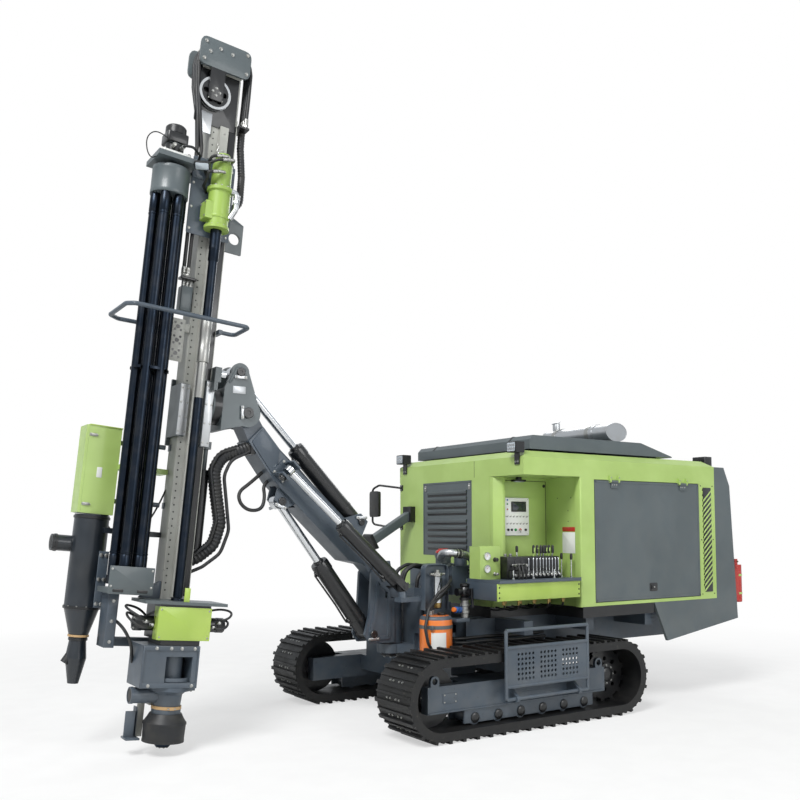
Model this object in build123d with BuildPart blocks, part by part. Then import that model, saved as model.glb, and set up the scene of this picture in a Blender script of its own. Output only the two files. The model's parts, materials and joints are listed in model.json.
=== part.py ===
from build123d import *
from math import atan2, cos, degrees, pi, radians, sin
import os

os.makedirs("parts", exist_ok=True)

# A tracked down-the-hole drilling rig, in millimetres: +X is forward, to the mast, +Y is the
# machine's left, where the operator stands, and +Z is up. The origin is on the ground, under the
# middle of the whole machine.

# Clearances
turn_gap = 0.3            # between round faces that turn or slide on each other
side_gap = 6.0            # beside an eye between its cheeks
move_gap = 8.0            # between pieces that pass each other

# Undercarriage
mid_x = -235.0            # middle of the tracks, along the machine
track_width = 2400.0      # over both tracks
shoe_width = 480.0
wheel_base = 1990.0       # between the idler's and the sprocket's axles
track_height = 680.0
grouser_height = 22.0
belt_thickness = 70.0     # chain and shoe plate
shoe_count = 44
roller_count = 6
roller_radius = 60.0
frame_low, frame_high = 218.0, 430.0
lug_hole_radius = 26.0
lug_thickness = 30.0

# Body
body_front = mid_x - 40.0
body_back = mid_x - 2650.0
body_half = 980.0
wall = 30.0
sill_z = 960.0
eave_z = 2150.0
band_z = 2310.0
niche_depth = 700.0       # operator's corner, from the front wall back
niche_y = 510.0           # its back wall
door_front, door_back = mid_x - 900.0, mid_x - 2400.0
door_low, door_high = 990.0, 2130.0
door_wall = 40.0
vent_back = mid_x - 2630.0
louvre_y = (-555.0, 240.0)
louvre_z = (1410.0, 2130.0)
lid_front, lid_kink, lid_back = mid_x - 200.0, mid_x - 1660.0, mid_x - 2120.0
lid_half = 880.0
lid_low, lid_top = 2400.0, 2517.0

# Boom
swing_x = mid_x + 720.0
boom_pitch = 45.0
boom_foot = (mid_x + 860.0, 1280.0)
boom_length = 1894.0
boom_half = 125.0
boom_tip_radius = 80.0
foot_pin, tip_pin = 40.0, 45.0        # pin radii
foot_cheek = (90.0, 120.0)            # of the swing bracket, from the middle
lift_base = (mid_x + 977.0, 744.0)
lift_eye = (1145.0, -266.0)     # along and above the boom's pin line
tilt_base = (488.0, 150.0)      # the same
tilt_eye = (mid_x + 2263.0, 2953.0)
swing_base = (mid_x + 824.0, 350.0, 1162.0)
swing_eye = (1333.0, 245.0, -100.0)   # along the boom, to its left, above its pin line
knuckle_lean = 9.0                    # of the swing knuckle's pin, to the right
head_cheek = (101.0, 131.0)           # of the head bracket, from the middle

# Mast
lean = 5.2
mast_foot_x = mid_x + 2880.0
beam_depth = 220.0
beam_half = 95.0
beam_low, beam_high = 330.0, 5450.0
beam_wall = 12.0
drill_x, drill_y = 30.0, 250.0        # drill line beside the beam
rod_radius = 36.0
rod_count = 6
magazine_x, magazine_y = 400.0, 130.0
magazine_pitch = 105.0
bracket_face = -222.0                 # the head bracket's front, behind the beam's middle
swivel_height = 2691.0                # of the mast's swing pin
swivel_pin = 50.0
swivel_disc = 140.0
cradle_low, cradle_high = swivel_height - 351.0, swivel_height + 189.0
cradle_plate = (-142.0, -111.0)       # behind the beam
plate_span = (swivel_height - 191.0, swivel_height + 159.0)     # the head bracket's front plate
feed_swing_x = -190.0
swing_height = swivel_height + 254.0
feed_swing_base = (feed_swing_x, -420.0, swing_height)
feed_swing_eye = (feed_swing_x, 140.0, swing_height)
slide_x = -165.0
slide_high = cradle_low - 170.0
slide_low = slide_high - 640.0
carriage_low, carriage_high = 4040.0, 4680.0
hoop_height = cradle_high + 400.0
cabinet = ((480.0, 750.0), (-330.0, -130.0), (1740.0, 2420.0))
collector_x, collector_y, collector_radius = 610.0, -225.0, 130.0
collector_top = cabinet[2][0] - move_gap


def side(y, x=0.0, z=0.0, pitch=0.0):
    """A plane seen from the machine's left: its X runs forward, raised by pitch, and its Y up."""
    along = (cos(radians(pitch)), 0, sin(radians(pitch)))
    return Plane(origin=(x, y, z), x_dir=along, z_dir=(0, -1, 0))


def front(x):
    """A plane that faces forward: its X is the machine's left and its Y is up."""
    return Plane(origin=(x, 0, 0), x_dir=(0, 1, 0), z_dir=(1, 0, 0))


def block(frame, x, y, z, mode=Mode.ADD):
    """A block between the low and the high value of x, y and z in a frame."""
    middle = tuple((low + high) / 2 for low, high in (x, y, z))
    size = [high - low for low, high in (x, y, z)]
    with Locations(frame.location * Location(middle)):
        Box(*size, mode=mode)


def bar(frame, start, end, radius, mode=Mode.ADD):
    """A round bar between two points of a frame."""
    foot = frame.from_local_coords(Vector(*start))
    axis = frame.from_local_coords(Vector(*end)) - foot
    with Locations(Plane(origin=foot, z_dir=axis).location):
        Cylinder(radius, axis.length, align=(Align.CENTER, Align.CENTER, Align.MIN), mode=mode)


def write(piece, name):
    """Label a finished piece and write it under its own name."""
    piece.label = name
    export_step(piece, f"parts/{name}.step")


ground = Plane.XY
mast = Plane(
    origin=(mast_foot_x, 0, 0),
    x_dir=(cos(radians(lean)), 0, sin(radians(lean))),
    z_dir=(-sin(radians(lean)), 0, cos(radians(lean))),
)
boom_line = side(0, boom_foot[0], boom_foot[1], boom_pitch)


def mast_section(height, x=0.0, y=0.0):
    """A plane across the mast at a height up it."""
    return Plane(mast.location * Location((x, y, height)))


def mast_side(y):
    """A plane along the mast seen from its left: X forward, Y up the mast."""
    return Plane(origin=mast.from_local_coords(Vector(0, y, 0)), x_dir=mast.x_dir, z_dir=(0, -1, 0))


def mast_front(x):
    """A plane along the mast that faces forward: X is the left, Y up the mast."""
    return Plane(origin=mast.from_local_coords(Vector(x, 0, 0)), x_dir=(0, 1, 0), z_dir=mast.x_dir)


# Tracks: one closed belt with its grousers in the outline
track_y = (track_width - shoe_width) / 2
wheel_z = track_height / 2
belt_radius = wheel_z - grouser_height
belt_inner = belt_radius - belt_thickness
loop_length = 2 * wheel_base + 2 * pi * belt_radius


def loop_location(distance):
    """The place and turn of the belt's outside at a distance round it, from its top rear."""
    half_turn = pi * belt_radius
    if distance < wheel_base:
        return Location((distance - wheel_base / 2, belt_radius), 0)
    distance -= wheel_base
    if distance < half_turn:
        angle = distance / belt_radius
        return Location(
            (wheel_base / 2 + belt_radius * sin(angle), belt_radius * cos(angle)), -degrees(angle)
        )
    distance -= half_turn
    if distance < wheel_base:
        return Location((wheel_base / 2 - distance, -belt_radius), 180)
    angle = (distance - wheel_base) / belt_radius
    return Location(
        (-wheel_base / 2 - belt_radius * sin(angle), -belt_radius * cos(angle)), 180 - degrees(angle)
    )


grouser_spots = [loop_location((i + 0.5) * loop_length / shoe_count) for i in range(shoe_count)]
for name, y in (("left_track", track_y), ("right_track", -track_y)):
    with BuildPart() as track:
        with BuildSketch(side(y, mid_x, wheel_z)):
            SlotCenterToCenter(wheel_base, 2 * belt_radius)
            with Locations(grouser_spots):
                Rectangle(30, 2 * grouser_height)
            SlotCenterToCenter(wheel_base, 2 * belt_inner, mode=Mode.SUBTRACT)
        extrude(amount=shoe_width / 2, both=True)
    write(track.part, name)

# Track frames: two side boxes joined in the middle, roller guards, rollers and lifting lugs
box_outer, box_slot, box_inner = 140.0, 50.0, 160.0   # widths from the track's middle line
belt_floor = wheel_z - belt_inner
roller_z = belt_floor + turn_gap + roller_radius
roller_pitch = 245.0
lug_spots = (mid_x - 800.0, mid_x + 1010.0)
lug_z = frame_high + 42.0
step_y, step_z = 1230.0, 285.0        # the step's hinge on the left frame
step_x = (mid_x - 530.0, mid_x + 390.0)
step_top = 840.0
step_tube = 15.0
step_arm_x = (mid_x - 420.0, mid_x + 280.0)
arm_thick = 30.0
for name, hand in (("left_track_frame", 1), ("right_track_frame", -1)):
    with BuildPart() as track_frame:
        outer = sorted((hand * (track_y + box_slot), hand * (track_y + box_outer)))
        inner = sorted((hand * (track_y - box_inner), hand * (track_y - box_slot)))
        block(ground, (mid_x - 870, mid_x + 1080), outer, (frame_low, frame_high))
        block(ground, (mid_x - 1120, mid_x + 1080), inner, (frame_low, frame_high))
        block(ground, (mid_x - 700, mid_x + 690), sorted((inner[0], outer[1])), (frame_low, frame_high))
        for guard_y in (hand * (track_y + box_outer - 12), hand * (track_y - box_slot - 30)):
            block(ground, (mid_x - 720, mid_x + 720), (guard_y - 10, guard_y + 10),
                  (belt_floor + 20, frame_low + 5))
        for i in range(roller_count):
            roller_x = mid_x + (i - (roller_count - 1) / 2) * roller_pitch
            bar(ground, (roller_x, hand * (track_y - box_slot - 30), roller_z),
                (roller_x, hand * (track_y + box_outer - 12), roller_z), roller_radius)
        for lug_x in lug_spots:
            with BuildSketch(side(hand * (track_y + box_outer), lug_x, lug_z)):
                Circle(42)
                with Locations((0, -50)):
                    Rectangle(84, 100)
                Circle(lug_hole_radius, mode=Mode.SUBTRACT)
            extrude(amount=hand * lug_thickness)
        for arm_x in step_arm_x if hand == 1 else ():
            with BuildSketch(front(arm_x - arm_thick / 2)):
                Polygon((track_y + box_outer - 1, frame_low + 10), (step_y, step_z - 28), (step_y, step_z + 28),
                        (track_y + box_outer - 1, frame_high - 30), align=None)
                with Locations((step_y, step_z)):
                    Circle(28)
                    Circle(step_tube + turn_gap, mode=Mode.SUBTRACT)
            extrude(amount=arm_thick)
    write(track_frame.part, name)

# Track wheels: drive sprockets at the rear and idlers at the front
tooth_count = 13
tooth_height = 24.0
wheel_radius = belt_inner - turn_gap
hub_half = box_slot - 1.0
with BuildPart() as track_wheels:
    for y in (track_y, -track_y):
        with BuildSketch(side(y, mid_x - wheel_base / 2, wheel_z)):
            Circle(wheel_radius - tooth_height)
            with PolarLocations(wheel_radius - tooth_height - 1, tooth_count):
                Rectangle(2 * tooth_height, 44)
            with PolarLocations(140, 8):
                Circle(20, mode=Mode.SUBTRACT)
        extrude(amount=24, both=True)
        with BuildSketch(side(y, mid_x + wheel_base / 2, wheel_z)):
            Circle(wheel_radius)
        extrude(amount=28, both=True)
        for hub_x in (mid_x - wheel_base / 2, mid_x + wheel_base / 2):
            with BuildSketch(side(y, hub_x, wheel_z)):
                Circle(100)
            extrude(amount=hub_half, both=True)
write(track_wheels.part, "track_wheels")

# Chassis between the tracks: cross beams, two long rails and cross members under the body
cross_y = track_y - box_inner
beam_reach = 130.0
belt_side = track_y - shoe_width / 2 - 25
shoulder_z = 600.0        # top of the cross beams' ends, beside the belts
deck_z = 740.0            # top of their middle
rail_z = (560.0, 860.0)
rail_y = (350.0, 500.0)
rail_back, rail_front = mid_x - 2600.0, mid_x + 235.0
member_z = (600.0, 800.0)
tank_x, tank_y, tank_radius = mid_x + 611.0, 560.0, 140.0
deck_half = tank_y - tank_radius - move_gap
with BuildPart() as chassis_frame:
    for beam_x in (-560.0, 420.0):
        beam_span = (mid_x + beam_x - beam_reach, mid_x + beam_x + beam_reach)
        block(ground, beam_span, (-cross_y, cross_y), (290, frame_high))
        block(ground, beam_span, (-belt_side, belt_side), (290, shoulder_z))
        block(ground, beam_span, (-deck_half, deck_half), (290, deck_z))
    for hand in (1, -1):
        near, far = sorted((hand * rail_y[0], hand * rail_y[1]))
        block(ground, (rail_back, rail_front), (near, far), rail_z)
    for member_x in (-2560.0, -1900.0, -1200.0):
        block(ground, (mid_x + member_x - 40, mid_x + member_x + 40), (-rail_y[1], rail_y[1]), member_z)
    for bearer_x in (-2500.0, -1700.0, -900.0, -150.0):
        block(ground, (mid_x + bearer_x - 50, mid_x + bearer_x + 50), (-900, 900), (rail_z[1] - 120, rail_z[1]))
    block(ground, (mid_x + 60, tank_x + tank_radius), (rail_y[1] - 1, tank_y + 120), (shoulder_z - 20, shoulder_z))
write(chassis_frame.part, "chassis_frame")

with BuildPart() as body_floor:
    block(ground, (body_back, body_front), (-body_half, body_half), (860, sill_z))
    block(ground, (body_front - niche_depth, body_front + 1), (niche_y, body_half + 1), (859, sill_z + 1),
          mode=Mode.SUBTRACT)
    for hand in (1, -1):
        near, far = sorted((hand * (body_half - wall - 1), hand * (body_half + 1)))
        block(ground, (body_back - 1, mid_x - 1690), (near, far), (859, sill_z + 1), mode=Mode.SUBTRACT)
write(body_floor.part, "body_floor")

# Walls of the body: the front wall, the two walls of the operator's corner, and the side walls with
# the leaves of the doors' hinges
door_hinge_z = door_high - 14.0
hinge_out, hinge_pin = 12.0, 6.0      # the pin's distance from the wall and its radius
leaf_round = hinge_out - 1.5          # radius of the wall's leaf about the pin
hinge_places = (door_front - 260.0, door_back + 260.0)
leaf_near, leaf_far = 46.0, 66.0      # of a hinge's leaves, from its middle
niche_x = body_front - niche_depth
with BuildPart() as front_wall:
    block(ground, (body_front - wall, body_front), (-body_half, niche_y), (sill_z, eave_z))
    block(ground, (body_front - wall - 5, body_front + 5), louvre_y, louvre_z, mode=Mode.SUBTRACT)
write(front_wall.part, "front_wall")

with BuildPart() as corner_walls:
    block(ground, (niche_x - wall, body_front - wall), (niche_y - wall, niche_y), (sill_z, eave_z))
    block(ground, (niche_x - wall, niche_x), (niche_y - wall, body_half), (sill_z, eave_z))
write(corner_walls.part, "corner_walls")

with BuildPart() as side_walls:
    for hand, wall_front in ((1, niche_x - wall), (-1, body_front - wall)):
        near, far = sorted((hand * (body_half - wall), hand * body_half))
        block(ground, (body_back, wall_front), (near, far), (sill_z, eave_z))
        block(ground, (door_back, door_front), (near - 1, far + 1), (door_low, door_high), mode=Mode.SUBTRACT)
        block(ground, (vent_back, door_back - 20), (near - 1, far + 1), (door_low, door_high),
              mode=Mode.SUBTRACT)
        near, far = sorted((hand * body_half, hand * (body_half + 2 * hinge_out)))
        for hinge_x in hinge_places:
            for leaf_x in (hinge_x - leaf_far, hinge_x + leaf_near):
                leaf_end = leaf_x + leaf_far - leaf_near
                block(ground, (leaf_x, leaf_end), (near, far), (door_hinge_z, door_high + 40))
                bar(ground, (leaf_x, hand * (body_half + hinge_out), door_hinge_z),
                    (leaf_end, hand * (body_half + hinge_out), door_hinge_z), leaf_round)
            bar(ground, (hinge_x - leaf_far - 1, hand * (body_half + hinge_out), door_hinge_z),
                (hinge_x + leaf_far + 1, hand * (body_half + hinge_out), door_hinge_z),
                hinge_pin + turn_gap, mode=Mode.SUBTRACT)
write(side_walls.part, "side_walls")

# Doors, hinged along their top edges, each as thick as the whole door
door_gap = 6.0
for name, hand in (("left_door", 1), ("right_door", -1)):
    with BuildPart() as door:
        near, far = sorted((hand * (body_half - door_wall), hand * body_half))
        block(ground, (door_back + door_gap, door_front - door_gap), (near, far),
              (door_low + door_gap, door_high - door_gap))
        for hinge_x in hinge_places:
            for reach, radius in ((leaf_near - 1, 12), (leaf_far, hinge_pin)):
                bar(ground, (hinge_x - reach, hand * (body_half + hinge_out), door_hinge_z),
                    (hinge_x + reach, hand * (body_half + hinge_out), door_hinge_z), radius)
            near, far = sorted((hand * (body_half - 1), hand * (body_half + hinge_out)))
            block(ground, (hinge_x - leaf_near + 1, hinge_x + leaf_near - 1), (near, far),
                  (door_hinge_z - 60, door_hinge_z))
    write(door.part, name)

# Slotted vent panels behind the doors
slot_count = 19
with BuildPart() as side_vents:
    for hand in (1, -1):
        near, far = sorted((hand * (body_half - 14), hand * (body_half - 2)))
        vent_x = (vent_back, door_back - 20)
        block(ground, vent_x, (near, far), (door_low, door_high))
        slot_pitch = (door_high - door_low - 120) / slot_count
        slot_spots = [((vent_x[0] + vent_x[1]) / 2, door_low + 60 + (i + 0.5) * slot_pitch)
                      for i in range(slot_count)]
        with BuildSketch(side(hand * body_half)):
            with Locations([Location(spot, 24) for spot in slot_spots]):
                Rectangle(150, 22)
        extrude(amount=20, both=True, mode=Mode.SUBTRACT)
write(side_vents.part, "side_vents")

# Front louvre panel in its opening
with BuildPart() as front_louvre:
    block(ground, (body_front - 22, body_front - 2), louvre_y, louvre_z)
    blade_rows = [louvre_z[0] + 90 + i * 62 for i in range(5)] + [louvre_z[0] + 430 + i * 62 for i in range(4)]
    with BuildSketch(front(body_front)):
        with Locations([((louvre_y[0] + louvre_y[1]) / 2, row) for row in blade_rows]):
            Rectangle(640, 34)
    extrude(amount=-30, mode=Mode.SUBTRACT)
write(front_louvre.part, "front_louvre")

# Eaves band with its sloping top strip and the deck inside it
strip_rise = 60.0
strip_inset = 90.0
with BuildPart() as eaves_band:
    with BuildSketch(Plane.XY.offset(eave_z)):
        with Locations(((body_front + body_back) / 2, 0)):
            Rectangle(body_front - body_back, 2 * body_half)
    extrude(amount=band_z - eave_z)
    with BuildSketch(Plane.XY.offset(band_z)):
        with Locations(((body_front + body_back) / 2, 0)):
            Rectangle(body_front - body_back, 2 * body_half)
    extrude(amount=strip_rise, taper=degrees(atan2(strip_inset, strip_rise)))
    block(ground, (body_back + strip_inset, body_front - strip_inset),
          (-body_half + strip_inset, body_half - strip_inset), (eave_z + 20, band_z + strip_rise + 1),
          mode=Mode.SUBTRACT)
write(eaves_band.part, "eaves_band")

# Air intake box on the deck, the raised lid over it and the silencer on the lid
with BuildPart() as intake_box:
    block(ground, (lid_back + 120, lid_front - 120), (-lid_half + 100, lid_half - 100),
          (eave_z + 20, lid_low - 10))
write(intake_box.part, "intake_box")

lid_outline = [
    (lid_front, lid_low - 10), (lid_front, lid_top - 40), (lid_front - 40, lid_top),
    (lid_kink, lid_top), (lid_back, lid_low), (lid_back, lid_low - 10),
]
with BuildPart() as roof_lid:
    with BuildSketch(side(0)):
        Polygon(*lid_outline, align=None)
    extrude(amount=lid_half, both=True)
    with BuildSketch(Plane.XY.offset(lid_low - 10)):
        with Locations(((lid_front + lid_kink) / 2, 0)):
            Rectangle(lid_front - lid_kink - 60, 2 * lid_half - 60)
    extrude(amount=90, mode=Mode.SUBTRACT)
write(roof_lid.part, "roof_lid")

silencer_x, silencer_z = mid_x - 1720.0, 2662.0
with BuildPart() as silencer:
    with BuildSketch(side(510, silencer_x, silencer_z)):
        Ellipse(150, 95)
    extrude(amount=950)
    for strap_y in (-240, 300):
        with BuildSketch(side(strap_y, silencer_x, silencer_z)):
            Ellipse(156, 101)
            with Locations((0, -120)):
                Rectangle(180, 160)
        extrude(amount=50)
    with BuildSketch(side(0)):
        Polygon(*lid_outline, align=None)
    extrude(amount=lid_half, both=True, mode=Mode.SUBTRACT)
    bar(ground, (silencer_x + 40, -330, silencer_z + 60), (silencer_x + 40, -330, silencer_z + 170), 38)
write(silencer.part, "silencer")

# Rear cowl: side wings that reach forward under the doors, a rear wall and a top
wing_outline = [
    (body_back, band_z), (mid_x - 2810, band_z), (mid_x - 2900, 2120), (mid_x - 2990, 740),
    (mid_x - 1885, 580), (mid_x - 1700, sill_z - 1), (body_back, sill_z - 1),
]
with BuildPart() as rear_cowl:
    with BuildSketch(side(0)):
        Polygon(*wing_outline, align=None)
    extrude(amount=body_half, both=True)
    with BuildSketch(side(0)) as cavity:
        Polygon(
            (body_back + 5, band_z - wall), (mid_x - 2790, band_z - wall), (mid_x - 2870, 2110),
            (mid_x - 2956, 770), (mid_x - 2880, 700), (mid_x - 1800, 500), (mid_x - 1600, sill_z + 5),
            (body_back + 5, sill_z + 5),
            align=None,
        )
    extrude(amount=body_half - wall, both=True, mode=Mode.SUBTRACT)
    block(ground, (mid_x - 3100, mid_x - 2800), (-760, 760), (1060, 2060), mode=Mode.SUBTRACT)
write(rear_cowl.part, "rear_cowl")

with BuildPart() as rear_grille:
    with BuildSketch(side(0)):
        Polygon(
            (mid_x - 2865, 2060), (mid_x - 2885, 2060), (mid_x - 2950, 1060), (mid_x - 2930, 1060),
            align=None,
        )
    extrude(amount=760, both=True)
    with BuildSketch(front(mid_x - 3100)):
        with GridLocations(0, 62, 1, 15):
            with Locations((0, 1560)):
                Rectangle(1400, 36)
    extrude(amount=400, mode=Mode.SUBTRACT)
write(rear_grille.part, "rear_grille")

with BuildPart() as engine_block:
    block(ground, (mid_x - 1900, mid_x - 1000), (-400, 400), (sill_z, 1880))
write(engine_block.part, "engine_block")

# Operator's corner: control plate, lever console
with BuildPart() as control_plate:
    block(ground, (mid_x - 490, mid_x - 190), (niche_y, niche_y + 24), (1610, 1960))
write(control_plate.part, "control_plate")

console_x = (mid_x - 690.0, mid_x + 270.0)
valve_x, valve_top = (mid_x - 575.0, mid_x + 35.0), 1420.0
gauge_back = mid_x + 45.0
with BuildPart() as lever_console:
    block(ground, console_x, (niche_y + 40, body_half), (1060, 1205))
    block(ground, (console_x[0], console_x[1]), (niche_y + 40, body_half + 30), (1205, 1225))
    block(ground, (console_x[0] + 200, body_front), (niche_y, niche_y + 40), (1080, 1180))
    block(ground, valve_x, (niche_y + 120, body_half - 140), (1225, valve_top))
    block(ground, (gauge_back, console_x[1]), (niche_y + 90, body_half - 230), (1225, 1515))
    for i in range(7):
        lever_x = mid_x - 321 - i * 37
        bar(ground, (lever_x, body_half - 200, valve_top - 5), (lever_x, body_half - 180, 1500), 7)
write(lever_console.part, "lever_console")

# Front deck: pedestal with the upright boom pin between its lugs, and the swing cylinder's arm
pedestal_x = (mid_x + 330.0, mid_x + 590.0)
pedestal_half = 300.0
beam_front = mid_x + 550.0          # front face of the chassis's front cross beam
lower_lug, upper_lug = (560.0, 640.0), (1060.0, 1140.0)
lug_radius = 120.0
swing_pin = 55.0
pin_span = (540.0, 1150.0)
knuckle = Plane(
    origin=swing_base,
    x_dir=(1, 0, 0),
    z_dir=(0, -sin(radians(knuckle_lean)), cos(radians(knuckle_lean))),
)
knuckle_half = 32.0
knuckle_pin = 22.0
with BuildPart() as boom_pedestal:
    block(ground, pedestal_x, (-pedestal_half, pedestal_half), (deck_z, upper_lug[1]))
    block(ground, (beam_front, pedestal_x[1]), (-200, 200), (lower_lug[0], deck_z + 1))
    for low, high in (lower_lug, upper_lug):
        with BuildSketch(Plane.XY.offset(low)):
            Polygon((pedestal_x[1] - 10, 200), (swing_x, lug_radius), (swing_x, -lug_radius),
                    (pedestal_x[1] - 10, -200), align=None)
            with Locations((swing_x, 0)):
                Circle(lug_radius)
        extrude(amount=high - low)
    bar(ground, (swing_x, 0, pin_span[0]), (swing_x, 0, pin_span[1]), swing_pin)
    block(ground, (pedestal_x[1] - 30, pedestal_x[1] + 10), (250, 405), (1035, 1075))
    block(ground, (pedestal_x[1], swing_base[0] + 45), (300, 405), (1035, 1075))
    bar(knuckle, (0, 0, -120), (0, 0, -knuckle_half - 4 - side_gap), 38)
    bar(knuckle, (0, 0, -140), (0, 0, 0), knuckle_pin + turn_gap, mode=Mode.SUBTRACT)
write(boom_pedestal.part, "boom_pedestal")

tank_top = 925.0
with BuildPart() as deck_fittings:
    with BuildSketch(Plane.XY.offset(shoulder_z)):
        with Locations((tank_x, tank_y)):
            Circle(tank_radius)
    extrude(amount=tank_top - shoulder_z)
    fillet(deck_fittings.faces().sort_by(Axis.Z)[-1].edges(), 30)
    block(ground, (mid_x + 340, mid_x + 560), (310, 415), (deck_z, 1020))
    block(ground, (mid_x - 20, pedestal_x[0]), (-250, 420), (1080, 1330))
    bar(ground, (mid_x + 180, 350, 1330), (mid_x + 180, 350, 1440), 60)
write(deck_fittings.part, "deck_fittings")

# Lamps on the front corners, mirror, mast rest and extinguishers
rest = side(-770, body_front, 1830, -30)
with BuildPart() as work_lamps:
    for y in (-880, 900):
        block(ground, (body_front, body_front + 12), (y - 30, y + 30), (2240, 2350))
        block(ground, (body_front - 25, body_front + 70), (y - 62, y + 62), (2345, 2440))
write(work_lamps.part, "work_lamps")

with BuildPart() as front_brackets:
    with BuildLine():
        FilletPolyline(
            (body_front, -960, 2100), (mid_x + 150, -1100, 2130), (mid_x + 190, -1165, 2090),
            (mid_x + 190, -1165, 1720), (mid_x + 60, -1050, 1690), (body_front, -960, 1690),
            radius=45,
        )
    with BuildSketch(Plane(origin=(body_front, -960, 2100), z_dir=(190, -140, 30))):
        Circle(11)
    sweep()
    block(ground, (mid_x + 180, mid_x + 200), (-1198, -1030), (1800, 2060))
    block(rest, (0, 560), (-35, 35), (-35, 35))
    block(rest, (560, 580), (-80, 80), (-80, 80))
    block(ground, (body_front, body_front + 60), (-840, -700), (1740, 1900))
    block(ground, (body_front - 100, body_front), (-1000, -640), (1600, 2200), mode=Mode.SUBTRACT)
write(front_brackets.part, "front_brackets")


def cowl_back(z):
    """Where the rear cowl's sloping back is at a height."""
    return mid_x - 2900 - (2120 - z) * 90 / 1380


bottle_x = mid_x - 3090.0
bottle_span = (900.0, 1290.0)
with BuildPart() as extinguishers:
    with BuildSketch(side(965)):
        Polygon(
            (cowl_back(1250), 1250), (cowl_back(920), 920), (bottle_x + 50, 920), (bottle_x + 50, 1250),
            align=None,
        )
    extrude(amount=330)
    for y in (885, 715):
        with BuildSketch(Plane.XY.offset(bottle_span[0])):
            with Locations((bottle_x, y)):
                Circle(65)
        extrude(amount=bottle_span[1] - bottle_span[0])
        bar(ground, (bottle_x, y, bottle_span[1]), (bottle_x, y, bottle_span[1] + 60), 28)
write(extinguishers.part, "extinguishers")

# Step: it folds down about its lower tube
with BuildPart() as step_platform:
    for z in (step_z, 385, 700, step_top):
        bar(ground, (step_x[0], step_y, z), (step_x[1], step_y, z), step_tube)
    for x in step_x:
        bar(ground, (x, step_y, step_z - 0), (x, step_y, step_top), step_tube)
    block(ground, (step_x[0], step_x[1]), (step_y - 5, step_y + 5), (385, 700))
    with BuildSketch(side(step_y)):
        for middle in (-250.0, 0.0, 250.0):
            with Locations(((step_x[0] + step_x[1]) / 2 + middle, 542)):
                with GridLocations(40, 40, 5, 6):
                    Circle(12)
    extrude(amount=10, both=True, mode=Mode.SUBTRACT)
write(step_platform.part, "step_platform")


# Boom swing bracket, on the pedestal's upright pin
foot_x, foot_z = boom_foot
base_x, base_z = lift_base
tube_span = (lower_lug[1] + side_gap, upper_lug[0] - side_gap)
with BuildPart() as swing_bracket:
    with BuildSketch(Plane.XY.offset(tube_span[0])):
        with Locations((swing_x, 0)):
            Circle(105)
    extrude(amount=tube_span[1] - tube_span[0])
    for hand in (1, -1):
        with BuildSketch(side(hand * foot_cheek[1])):
            Polygon(
                (swing_x + 30, 660), (base_x + 30, 660), (base_x + 85, base_z), (base_x + 40, base_z + 160),
                (foot_x + 135, foot_z), (foot_x + 70, foot_z + 105), (foot_x - 60, foot_z + 105),
                (foot_x - 90, foot_z - 30), (foot_x - 70, upper_lug[1] + 25),
                (swing_x + lug_radius + 10, upper_lug[1] + 20), (swing_x + lug_radius + 10, tube_span[1]),
                (swing_x + 30, tube_span[1]),
                align=None,
            )
        extrude(amount=hand * (foot_cheek[1] - foot_cheek[0]))
    block(ground, (swing_x + 70, swing_x + 135), (-foot_cheek[1], foot_cheek[1]), (660, tube_span[1]))
    bar(ground, (swing_x, 0, tube_span[0] - 1), (swing_x, 0, tube_span[1] + 1), swing_pin + turn_gap,
        mode=Mode.SUBTRACT)
    bar(ground, (foot_x, -foot_cheek[1] - 12, foot_z), (foot_x, foot_cheek[1] + 12, foot_z), foot_pin)
    bar(ground, (base_x, -foot_cheek[1] - 12, base_z), (base_x, foot_cheek[1] + 12, base_z), 35)
write(swing_bracket.part, "swing_bracket")

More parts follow.
